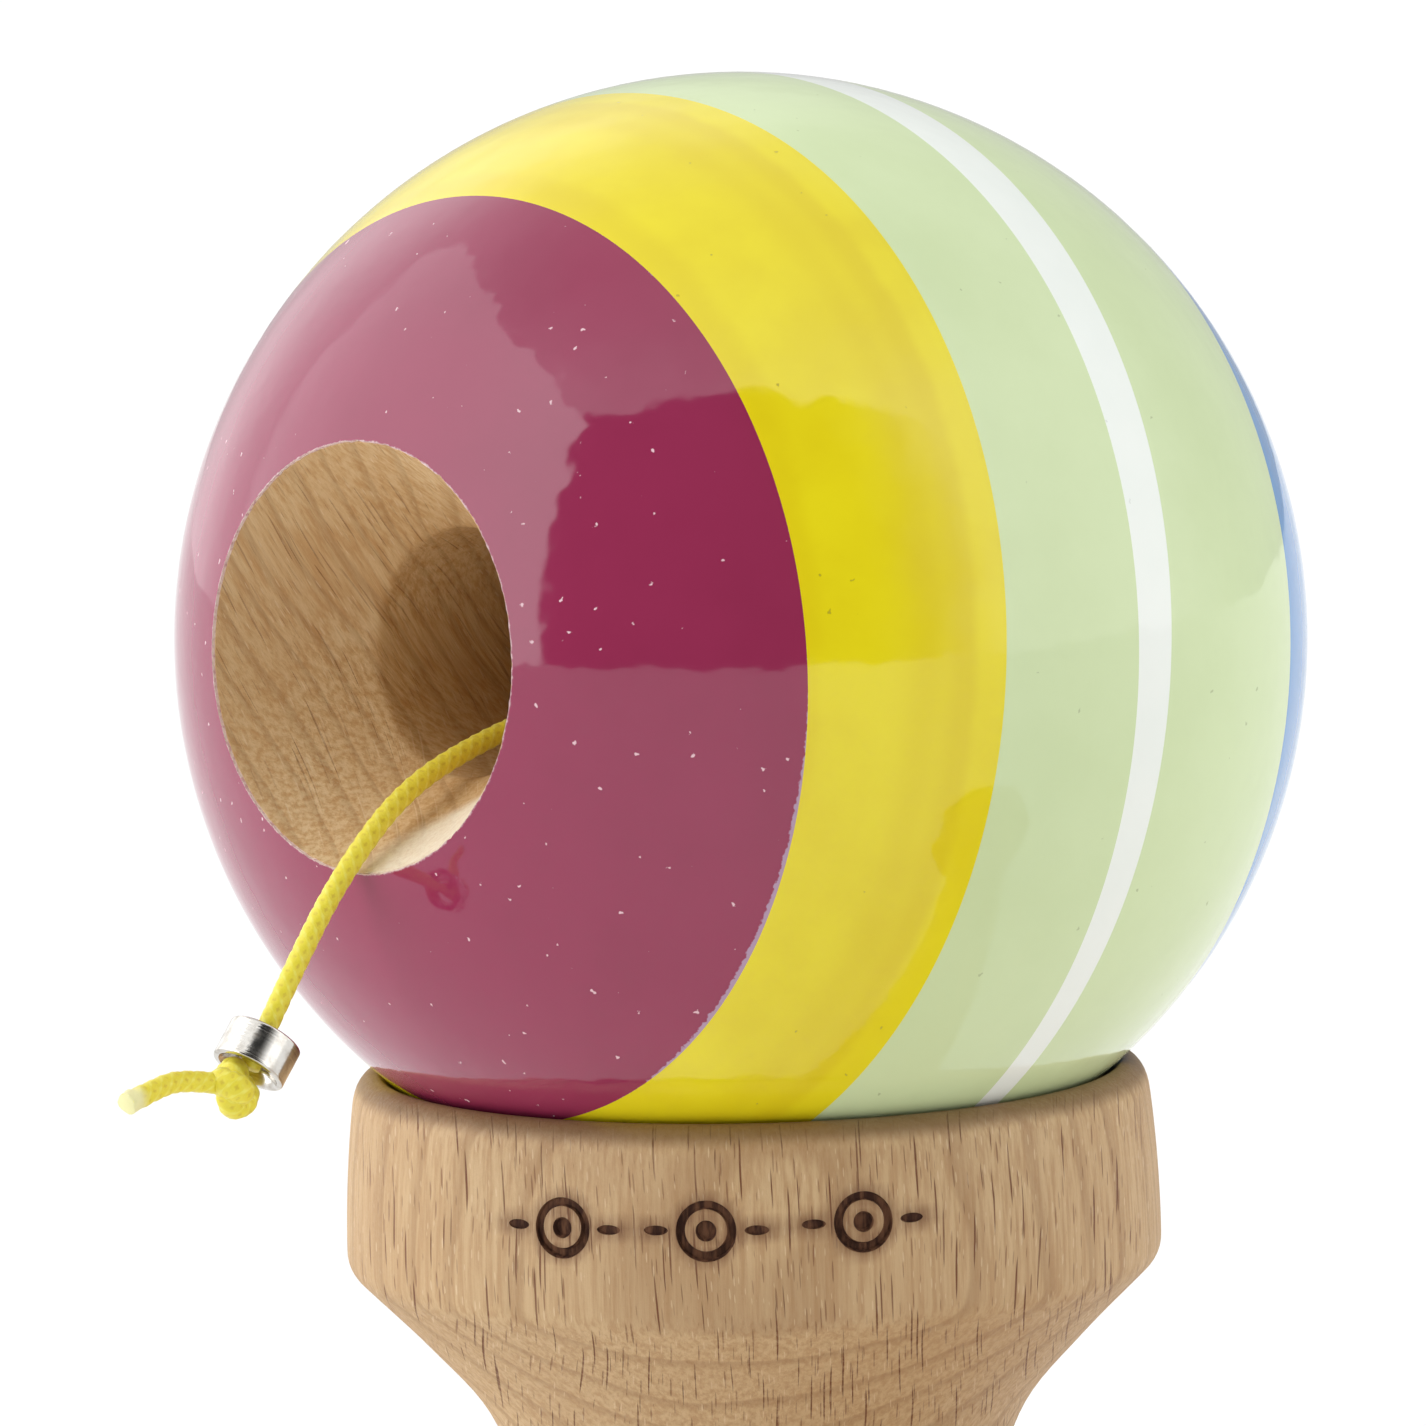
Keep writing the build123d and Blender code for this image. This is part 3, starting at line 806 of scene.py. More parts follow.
@dataclass
class PaintedBall:
    """The wooden ball with its bevelled hole, and the six coats of lacquer on it."""

    bore_radius: float = 6.4
    bevel_depth: float = 7.5
    bore_depth: float = 42.0
    cone_depth: float = 3.0
    string_hole: float = 1.5
    corner_reach: float = 0.35  # how far the soft corner between bore and bevel reaches
    around: int = 256
    rows: int = 128
    arc_steps: int = 96
    wood_around: int = 288
    raggedness: float = 0.06
    wood: Beech = Beech("bare_beech_in_hole", Axis.ACROSS_HOLE, pale="#dcc094", tan="#c29865", ring="#946a3a",
                        fleck="#7a4522", ring_spacing=1.7, ring_strength=0.32, fleck_strength=0.4,
                        heart=(-70.0, 22.0))
    coats: tuple[Coat, ...] = (
        Coat("paint_maroon", Lacquer("maroon_lacquer", "#962f53", "#8a294a", "#e8c3cc", dust_gap=0.82,
                                     cut_line=True, overspray=True), None, "maroon_yellow", "maroon_lacquer"),
        Coat("paint_yellow", Lacquer("yellow_lacquer", "#eede1c", "#dcc214", "#8f7a0c", dust_share=0.6,
                                     banding=0.45), "maroon_yellow", "yellow_green", "yellow_lacquer"),
        Coat("paint_green_front", Lacquer("pale_green_lacquer", "#d4e5b3", "#c9dba5", "#8a9a6a",
                                          dust_share=0.45), "yellow_green", "green_white", "green_lacquer"),
        Coat("paint_white_line", Lacquer("white_lacquer", "#f4f9f3", "#ebf3ec", "#b5bdb2", dust_share=0.3),
             "green_white", "white_green", "white_lacquer"),
        Coat("paint_green_rear", Lacquer("pale_green_lacquer_rear", "#d4e5b3", "#c9dba5", "#8a9a6a",
                                         dust_share=0.45), "white_green", "green_blue", "green_lacquer"),
        Coat("paint_blue", Lacquer("sky_blue_lacquer", "#5391cd", "#4a86c2", "#d5e2ee", dust_share=0.4),
             "green_blue", None, "blue_lacquer"),
    )

    def shell(self) -> bmesh.types.BMesh:
        """The painted surface round the ball, open at the mouth and at the string's hole."""
        bm = bmesh.new()
        bmesh.ops.create_uvsphere(bm, u_segments=self.around, v_segments=self.rows, radius=BALL_RADIUS)
        back_out = -math.sqrt(BALL_RADIUS**2 - self.string_hole**2)
        for height, side in ((MOUTH_OUT, {"clear_outer": True}), (back_out, {"clear_inner": True})):
            bmesh.ops.bisect_plane(bm, geom=bm.verts[:] + bm.edges[:] + bm.faces[:], dist=1e-4,
                                   plane_co=(0, 0, height), plane_no=(0, 0, 1), **side)
        for vert in [v for v in bm.verts if v.is_boundary and v.co.z > 0]:
            bite = self.raggedness * abs(noise.noise(vert.co * 2.3)) * 2
            bite += self.raggedness * 0.5 * abs(noise.noise(vert.co * 7.0))
            away = Vector((vert.co.x, vert.co.y, 0)).normalized() * bite
            vert.co = (vert.co + away - Vector((0, 0, bite * 0.37))).normalized() * BALL_RADIUS
        bm.transform(BALL_TURN)
        return bm

    def coat_mesh(self, shell: bmesh.types.BMesh, coat: Coat) -> bpy.types.Object:
        """Cuts one coat from a copy of the shell and gives it its thickness.

        Args:
            shell: The whole painted surface.
            coat: Which coat.

        Returns:
            The piece.
        """
        bm = shell.copy()
        for edge, side in ((coat.front, {"clear_outer": True}), (coat.back, {"clear_inner": True})):
            if edge:
                axis = colour_axis(edge)
                bmesh.ops.bisect_plane(bm, geom=bm.verts[:] + bm.edges[:] + bm.faces[:], dist=1e-4,
                                       plane_co=axis * COLOUR_EDGES[edge][0], plane_no=axis, **side)
        bmesh.ops.recalc_face_normals(bm, faces=bm.faces)
        grown = bmesh.ops.extrude_face_region(bm, geom=bm.faces[:], use_keep_orig=True)
        inner = [v for v in grown["geom"] if isinstance(v, bmesh.types.BMVert)]
        bmesh.ops.scale(bm, verts=inner, vec=(1 - PAINT_THICKNESS / BALL_RADIUS,) * 3)
        bmesh.ops.recalc_face_normals(bm, faces=bm.faces)
        for face in bm.faces:
            middle = face.calc_center_median()
            rim = abs(face.normal.dot(middle.normalized())) < 0.5
            at_mouth = middle.dot(MOUTH_AXIS) > MOUTH_OUT - 1.0
            face.material_index = 1 if rim and at_mouth else 0
        piece = finished(bm, coat.node.replace("paint", "coat"), Matrix.Translation(BALL_CENTRE))
        self.true_normals(piece)
        return piece

    def true_normals(self, piece: bpy.types.Object) -> None:
        """Gives the coat's round faces the ball's own normals, so that gloss runs on over the edges."""
        mesh = piece.data
        centre = BALL_CENTRE * MM
        normals = []
        for polygon in mesh.polygons:
            radial = polygon.normal.dot((polygon.center - centre).normalized())
            for index in polygon.vertices:
                out = (mesh.vertices[index].co - centre).normalized()
                normals.append(out if radial > 0.5 else -out if radial < -0.5 else polygon.normal)
        mesh.normals_split_custom_set(normals)

    def wood_mesh(self) -> bpy.types.Object:
        """The wooden ball: bevelled mouth, bore, cone and string hole, turned about the hole's axis."""
        radius = BALL_RADIUS - PAINT_THICKNESS
        bevel_end = MOUTH_OUT - self.bevel_depth
        slope = (MOUTH_RADIUS - self.bore_radius) / self.bevel_depth
        lip = Vector((MOUTH_RADIUS - 0.08, MOUTH_OUT - 0.08 / slope))
        lip = lip * (radius / lip.length)
        bottom = MOUTH_OUT - self.bore_depth
        back = Vector((self.string_hole, -math.sqrt(radius**2 - self.string_hole**2)))
        start = math.atan2(lip.x, lip.y)
        end = math.atan2(back.x, back.y)
        outside = [Vector((math.sin(a), math.cos(a))) * radius
                   for a in (start + (end - start) * i / self.arc_steps for i in range(self.arc_steps + 1))]
        corner = Vector((self.bore_radius, bevel_end))
        before = corner - Vector((0, self.corner_reach))
        after = corner + Vector((slope, 1.0)).normalized() * self.corner_reach
        soft = between(before, corner.lerp((before + after) / 2, 0.5), after, 4)
        inside = [Vector((self.string_hole, bottom - self.cone_depth)), Vector((self.bore_radius, bottom))]
        inside += [Vector((self.bore_radius, bottom)).lerp(before, i / 16) for i in range(1, 17)]
        inside += soft
        inside += [after.lerp(lip, i / 14) for i in range(1, 14)]
        return finished(turned(outside + inside, self.wood_around), "ball_wood", BALL_PLACE, crease=25.0)

    def build(self) -> None:
        """Builds, dresses and rides the ball and its coats."""
        wood = self.wood_mesh()
        wood.data.materials.append(self.wood.material())
        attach(wood, "ball")
        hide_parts("ball")
        edge = PaintEdge().material()
        shell = self.shell()
        for coat in self.coats:
            piece = self.coat_mesh(shell, coat)
            piece.data.materials.append(coat.finish.material())
            piece.data.materials.append(edge)
            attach(piece, "ball")
            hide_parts(coat.node)
            LOG.info("%s: %d faces", piece.name, len(piece.data.polygons))
        shell.free()


# ------------------------------------------------------------------ crosspiece


@dataclass
class Crosspiece:
    """The double cup: turned beech with a tapered hole for the handle and a burned ornament."""

    height: float = 70.0
    big_rim: float = 19.75
    big_bowl_depth: float = 9.5
    small_rim: float = 17.0
    small_bowl_depth: float = 8.0
    neck_spike_end: float = 7.3
    neck_shoulder: float = 7.9
    shoulder_x: float = 12.0
    fit_gap: float = 0.05
    seat_radius: float = 10.6
    tie_hole: float = 1.1
    string_x: float = 4.0
    around: int = 320
    mark_middles: tuple[tuple[float, float], ...] = ((16.8, 64.75), (37.2, 64.8), (58.6, 65.0))
    mark_depth: float = 0.35
    ring_middle: float = 1.32
    ring_half: float = 0.36
    dash_out: float = 2.62
    dash_stretch: float = 2.5
    mark_proud: float = 0.3  # how far the pressing tool stands out of the wood
    band_radius: float = 21.66
    scorch_reach: float = 0.55
    wood: Beech = Beech("turned_beech_cup", Axis.UP, lip_height=69.0, scorched=True)

    def bowl(self, rim: float, depth: float, steps: int) -> list[Vector]:
        """The bowl's profile from its rim to its bottom, as radius and depth below the rim."""
        radius = (rim**2 + depth**2) / (2 * depth)
        half = math.asin(rim / radius)
        angles = (half * (1 - i / steps) for i in range(steps + 1))
        return [Vector((radius * math.sin(a), radius - depth - radius * math.cos(a))) for a in angles]

    def profile(self) -> list[Vector]:
        """The whole section, from the middle of the small bowl round to the middle of the big one."""
        small = [Vector((p.x, -p.y)) for p in reversed(self.bowl(self.small_rim, self.small_bowl_depth, 26))]
        points = small[:-1]
        inner = Vector((self.small_rim, 0))
        points += [inner + Vector((-0.22, 0.22)), inner + Vector((0.05, 0.02)), Vector((18.6, 0.0))]
        points += between(Vector((18.6, 0)), Vector((19.0, 0.25)), Vector((19.22, 0.9)), 6)
        points += [Vector((19.22, 0.9)).lerp(Vector((19.5, 7.4)), i / 12) for i in range(1, 13)]
        points += between(Vector((19.5, 7.4)), Vector((19.37, 8.15)), Vector((18.85, 8.75)), 6)
        waist = [(18.85, 8.75), (15.9, 12.1), (13.5, 16.2), (12.5, 23.0), (12.3, 35.0), (12.5, 45.5),
                 (14.45, 51.75), (17.75, 55.7), (21.15, 59.15)]
        points += flowing(waist, (-1, 1), (1, 1.02), 0.8)
        points += between(Vector((21.15, 59.15)), Vector((21.62, 59.8)), Vector((21.76, 60.6)), 6)
        points += flowing([(21.76, 60.6), (21.68, 63.6), (21.3, 68.2)], (0, 1), (-0.12, 1), 0.42)
        points += between(Vector((21.3, 68.2)), Vector((20.92, 69.45)), Vector((20.1, 70.0)), 8)
        rim = self.big_rim
        points += [Vector((rim + 0.16, self.height)), Vector((rim + 0.03, self.height - 0.04))]
        big = self.bowl(rim, self.big_bowl_depth, 34)
        points += [Vector((p.x, self.height + p.y)) for p in big[1:]]
        points[0].x = points[-1].x = 0.0
        return points

    def hole_tools(self) -> list[bpy.types.Object]:
        """What cuts the handle's tapered hole, its seat and the string's hole."""
        along = Matrix.Translation((0, 0, KEN_HEIGHT)) @ KEN_TURN
        reach = 24.0
        slope = (self.neck_shoulder - self.neck_spike_end) / (2 * self.shoulder_x)
        middle = (self.neck_shoulder + self.neck_spike_end) / 2 + self.fit_gap
        tools = []
        for name, low, high, depth, place in (
            ("hole", middle - slope * reach, middle + slope * reach, 2 * reach, along),
            ("seat", self.seat_radius, self.seat_radius, reach,
             Matrix.Translation((self.shoulder_x + reach / 2, 0, 0)) @ along),
            ("tie", self.tie_hole, self.tie_hole, reach,
             Matrix.Translation((self.string_x, reach / 2, KEN_HEIGHT)) @ ACROSS),
        ):
            bm = bmesh.new()
            bmesh.ops.create_cone(bm, cap_ends=True, segments=160, radius1=low, radius2=high, depth=depth)
            tools.append(finished(bm, name, place))
        return tools

    def mark_tool(self) -> bpy.types.Object:
        """What presses the ornament: three rings with a dot in the middle, and a dash on each side."""
        bm = bmesh.new()
        proud, deep = self.mark_proud, -self.mark_depth
        low, high = self.ring_middle - self.ring_half, self.ring_middle + self.ring_half
        groove = [(low, proud), (high, proud), (high - 0.2, deep), (low + 0.2, deep)]
        for turn, height in self.mark_middles:
            part = bmesh.new()
            verts = [part.verts.new((r, 0, z)) for r, z in groove]
            edges = [part.edges.new((verts[i - 1], verts[i])) for i in range(4)]
            bmesh.ops.spin(part, geom=verts + edges, cent=(0, 0, 0), axis=(0, 0, 1), angle=math.tau,
                           steps=48, use_merge=True)
            bmesh.ops.create_cone(part, cap_ends=True, segments=28, radius1=0.42, radius2=0.68,
                                  depth=proud - deep, matrix=Matrix.Translation((0, 0, (proud + deep) / 2)))
            for side in (-1, 1):
                made = bmesh.ops.create_cone(part, cap_ends=True, segments=24, radius1=0.22, radius2=0.36,
                                             depth=proud - deep)
                bmesh.ops.scale(part, verts=made["verts"], vec=(self.dash_stretch, 1.0, 1.0))
                bmesh.ops.translate(part, verts=made["verts"],
                                    vec=(side * self.dash_out, 0, (proud + deep) / 2))
            bmesh.ops.recalc_face_normals(part, faces=part.faces)
            upright = Matrix(((1, 0, 0, 0), (0, 0, -1, 0), (0, 1, 0, 0), (0, 0, 0, 1)))
            part.transform(Matrix.Rotation(math.radians(turn), 4, "Z")
                           @ Matrix.Translation((0, -self.band_radius, height)) @ upright)
            mesh = bpy.data.meshes.new("mark")
            part.to_mesh(mesh)
            part.free()
            bm.from_mesh(mesh)
            bpy.data.meshes.remove(mesh)
        return finished(bm, "marks")

    def scorch(self, piece: bpy.types.Object) -> None:
        """Browns the wood close round each mark.

        Args:
            piece: The cut crosspiece, which gets a scorch attribute.
        """
        values = []
        for vert in piece.data.vertices:
            x, y, z = (c / MM for c in vert.co)
            nearest = math.inf
            if z > 60.0 and math.hypot(x, y) > 21.2:
                for turn, height in self.mark_middles:
                    gap = (math.atan2(x, -y) - math.radians(turn) + math.pi) % math.tau - math.pi
                    along, up = 21.7 * gap, z - height
                    out = math.hypot(along, up)
                    ring = abs(out - self.ring_middle) - self.ring_half + 0.1
                    dash = math.hypot((abs(along) - self.dash_out) / self.dash_stretch, up) - 0.3
                    nearest = min(nearest, ring, out - 0.55, dash)
            values.append(max(0.0, min(1.0, 1.0 - nearest / self.scorch_reach)))
        attribute = piece.data.attributes.new("scorch", "FLOAT", "POINT")
        attribute.data.foreach_set("value", values)

    def build(self) -> None:
        """Builds, cuts, dresses and rides the crosspiece."""
        piece = finished(turned(self.profile(), self.around), "cup_crosspiece")
        wood, burned = self.wood.material(), BurnedBeech().material()
        piece.data.materials.append(wood)
        holes, marks = self.hole_tools(), self.mark_tool()
        for tool in holes:
            tool.data.materials.append(wood)
        marks.data.materials.append(burned)
        cut_away(piece, [*holes, marks])
        self.scorch(piece)
        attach(piece, "crosspiece")
        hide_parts("crosspiece")
        LOG.info("%s: %d faces", piece.name, len(piece.data.polygons))


# ------------------------------------------------------------------ handle


@dataclass
class KenHandle:
    """The handle: spike, tapered neck, shoulder, grip and base cup, turned in one piece."""

    tip_x: float = -56.0
    tip_radius: float = 2.7
    base_x: float = 108.0
    base_rim: float = 16.4
    base_bowl_depth: float = 7.5
    neck_spike_end: float = 7.3
    neck_shoulder: float = 7.9
    shoulder_x: float = 12.0
    string_x: float = 4.0
    tie_hole: float = 1.1
    recess_radius: float = 2.3
    recess_depth: float = 4.0
    around: int = 192
    wood: Beech = Beech("turned_beech_handle", Axis.ALONG_HANDLE)

    def profile(self) -> list[Vector]:
        """The section as radius and place along the handle, from the spike's tip to the bowl's middle."""
        centre = self.tip_x + self.tip_radius
        points = [Vector((self.tip_radius * math.sin(a), centre - self.tip_radius * math.cos(a)))
                  for a in (math.radians(90) * i / 14 for i in range(15))]
        slope = (self.neck_shoulder - self.neck_spike_end) / (2 * self.shoulder_x)
        neck = self.shoulder_x
        points += flowing([(2.7, centre), (4.3, -40.0), (5.9, -26.0), (self.neck_spike_end, -neck)],
                          (0.17, 1), (slope * 3, 1), 0.9)
        start, end = Vector((self.neck_spike_end, -neck)), Vector((self.neck_shoulder, neck))
        points += [start.lerp(end, i / 12) for i in range(1, 13)]
        points += [Vector((9.2, neck))]
        points += between(Vector((9.2, neck)), Vector((10.0, neck + 0.4)), Vector((10.3, neck + 1.4)), 6)
        grip = [(10.3, neck + 1.4), (9.1, 30.0), (8.5, 58.0), (9.6, 82.0), (12.2, 92.0), (17.0, 98.8)]
        points += flowing(grip, (0, 1), (0.8, 1), 0.9)
        points += between(Vector((17.0, 98.8)), Vector((17.65, 99.6)), Vector((17.9, 100.6)), 6)
        points += [Vector((17.9, 100.6)).lerp(Vector((18.2, 107.0)), i / 10) for i in range(1, 11)]
        points += between(Vector((18.2, 107.0)), Vector((17.95, 107.75)), Vector((17.3, 108.0)), 6)
        radius = (self.base_rim**2 + self.base_bowl_depth**2) / (2 * self.base_bowl_depth)
        half = math.asin(self.base_rim / radius)
        points += [Vector((self.base_rim + 0.2, self.base_x))]
        middle = self.base_x + radius - self.base_bowl_depth
        points += [Vector((radius * math.sin(a), middle - radius * math.cos(a)))
                   for a in (half * (1 - i / 26) for i in range(27))]
        points[0].x = points[-1].x = 0.0
        return points

    def build(self) -> None:
        """Builds, cuts, dresses and rides the handle."""
        along = Matrix.Translation((0, 0, KEN_HEIGHT)) @ KEN_TURN
        piece = finished(turned(self.profile(), self.around), "ken_turned", along)
        wood = self.wood.material()
        piece.data.materials.append(wood)
        recess_y = self.recess_depth / 2 - self.neck_shoulder
        tools = []
        for name, radius, depth, y in (("tie", self.tie_hole, 40.0, 0.0),
                                       ("recess", self.recess_radius, self.recess_depth, recess_y)):
            bm = bmesh.new()
            bmesh.ops.create_cone(bm, cap_ends=True, segments=64, radius1=radius, radius2=radius, depth=depth)
            tools.append(finished(bm, name, Matrix.Translation((self.string_x, y, KEN_HEIGHT)) @ ACROSS))
            tools[-1].data.materials.append(wood)
        cut_away(piece, tools)
        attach(piece, "ken")
        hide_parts("ken_handle")
        LOG.info("%s: %d faces", piece.name, len(piece.data.polygons))


# ------------------------------------------------------------------ string, bead and knots


def at_ball(x: float, y: float, z: float) -> tuple[float, float, float]:
    """A place given from the ball's centre."""
    return (x, y, BALL_CENTRE.z + z)


LEAD_ROUTE = [
    (4.0, 12.4, 35.0), (4.0, 13.6, 35.1), (3.2, 18.6, 32.8), (1.6, 21.6, 26.4), (-0.6, 23.4, 18.4),
    (-3.2, 24.8, 10.0), (-8.0, 27.0, 3.0), (-14.6, 29.9, 0.75), (-21.0, 32.3, 0.62), (-24.6, 33.2, 0.58),
]
RISER_ROUTE = [
    (-23.4, 26.0, 1.9), (-22.3, 29.0, 3.6), (-21.9, 31.6, 8.0), (-20.6, 32.6, 16.0),
    (-17.6, 32.5, 28.5), (-13.9, 32.2, 43.0), (-9.8, 32.3, 58.0), (-5.6, 32.9, 72.5), (-2.2, 34.3, 82.4),
]
THROUGH_ROUTE = [
    (-1.7, 34.8, 85.0), at_ball(-1.2, 35.0, -5.05), at_ball(-0.9, 33.7, -2.8),
    at_ball(-0.5, 31.5, -1.65), at_ball(0, 27.4, -1.4), at_ball(0, 19.4, -1.05), at_ball(0, 7.5, -0.3),
    at_ball(0.1, -4.5, -0.7), at_ball(0.2, -13.5, -2.2), at_ball(0.2, -20.5, -3.75),
    at_ball(0.2, -25.3, -5.6), at_ball(0.2, -29.1, -8.75), at_ball(0.2, -32.35, -12.5),
    at_ball(0.2, -36.4, -18.3),
]
TAIL_ROUTE = [
    at_ball(0.1, -38.2, -18.9), at_ball(-0.2, -40.6, -18.35), at_ball(0.2, -42.9, -18.6),
    at_ball(0.4, -44.75, -19.0),
]
KNOT_PLACE = Vector(at_ball(0.2, -37.5, -19.15))
BEAD_PLACE = Vector(at_ball(0.2, -35.85, -17.65))
BEAD_AXIS = Vector((0, 0.64, 0.768)).normalized()


@dataclass
class Braid:
    """A braided string: four strands each way round, over and under each other.

    A real strand is finer than the render shows, so these are drawn as coarse as they need to be.
    """

    diameter: float = 1.05
    sides: int = 20
    step: float = 0.12
    strands: int = 4
    lay: float = 3.3  # how far along the string a strand takes to go once round
    relief: float = 0.08

    def line(self, route: list[tuple[float, float, float]]) -> list[Vector]:
        """Reads evenly spaced points from the smooth line that a route gives.

        Args:
            route: The line's control points in millimetres.

        Returns:
            Points in millimetres, a step apart.
        """
        data = bpy.data.curves.new("route", "CURVE")
        data.dimensions = "3D"
        spline = data.splines.new("NURBS")
        spline.points.add(len(route) - 1)
        for point, place in zip(spline.points, route):
            point.co = (*place, 1.0)
        spline.order_u = 3
        spline.use_endpoint_u = True
        spline.resolution_u = 32
        holder = bpy.data.objects.new("route", data)
        bpy.context.scene.collection.objects.link(holder)
        mesh = evaluated_mesh(holder)
        raw = [v.co.copy() for v in mesh.vertices]
        bpy.data.objects.remove(holder)
        bpy.data.meshes.remove(mesh)
        length = sum((b - a).length for a, b in zip(raw, raw[1:]))
        count = max(2, round(length / self.step))
        spacing = length / count
        points, gone, wanted = [raw[0]], 0.0, spacing
        for a, b in zip(raw, raw[1:]):
            run = (b - a).length
            while gone + run >= wanted - 1e-9 and len(points) < count:
                points.append(a.lerp(b, (wanted - gone) / run))
                wanted += spacing
            gone += run
        points.append(raw[-1])
        return points

    def height(self, round_angle: float, along: float) -> float:
        """How high the braid stands at a place on it, from 0 in a gap to 1 on a crown."""
        turn = math.tau * along / self.lay
        one = 0.5 + 0.5 * math.cos(self.strands * (round_angle + turn))
        other = 0.5 + 0.5 * math.cos(self.strands * (round_angle - turn))
        over = 0.5 + 0.5 * math.cos(self.strands * round_angle) * math.cos(self.strands * turn)
        return max(one * (0.62 + 0.38 * over), other * (1.0 - 0.38 * over))

    def sweep(self, name: str, points: list[Vector], frayed: float = 0.0) -> bpy.types.Object:
        """Makes the string along a line, with its strands in relief.

        Args:
            name: The piece's name.
            points: The line, in millimetres.
            frayed: How long the melted, spread far end is, in millimetres.

        Returns:
            The piece, with its strand_height and melted attributes.
        """
        data = bpy.data.curves.new(name, "CURVE")
        data.dimensions = "3D"
        spline = data.splines.new("POLY")
        spline.points.add(len(points) - 1)
        for point, place in zip(spline.points, points):
            point.co = (*place, 1.0)
        data.bevel_depth = self.diameter / 2
        data.bevel_resolution = self.sides // 2 - 2
        data.use_fill_caps = True
        holder = bpy.data.objects.new(name, data)
        bpy.context.scene.collection.objects.link(holder)
        mesh = evaluated_mesh(holder)
        bpy.data.objects.remove(holder)
        mesh.name = name
        heights, melts = [], []
        total = len(points) * self.step
        for index, vert in enumerate(mesh.vertices):
            ring, side = divmod(index, self.sides)
            ring = min(ring, len(points) - 1)
            out = (vert.co - points[ring]).normalized()
            along = ring * self.step
            high = self.height(math.tau * side / self.sides, along)
            melt = max(0.0, 1 - (total - along) / frayed) if frayed else 0.0
            lift = self.relief * (high - 0.55) * (1 - 0.6 * melt)
            lift += 0.05 * melt + 0.16 * melt * noise.noise(vert.co * 2.5)
            vert.co = vert.co + out * lift
            heights.append(high)
            melts.append(melt)
        for label, values in (("strand_height", heights), ("melted", melts)):
            attribute = mesh.attributes.new(label, "FLOAT", "POINT")
            attribute.data.foreach_set("value", values)
        bm = bmesh.new()
        bm.from_mesh(mesh)
        bmesh.ops.delete(bm, geom=[f for f in bm.faces if len(f.verts) > 4], context="FACES_ONLY")
        caps = bmesh.ops.holes_fill(bm, edges=[e for e in bm.edges if e.is_boundary], sides=0)["faces"]
        caps = bmesh.ops.inset_region(bm, faces=caps, thickness=0.16, depth=0.05)["faces"]
        bmesh.ops.recalc_face_normals(bm, faces=bm.faces)
        return finished(bm, name, crease=75.0)


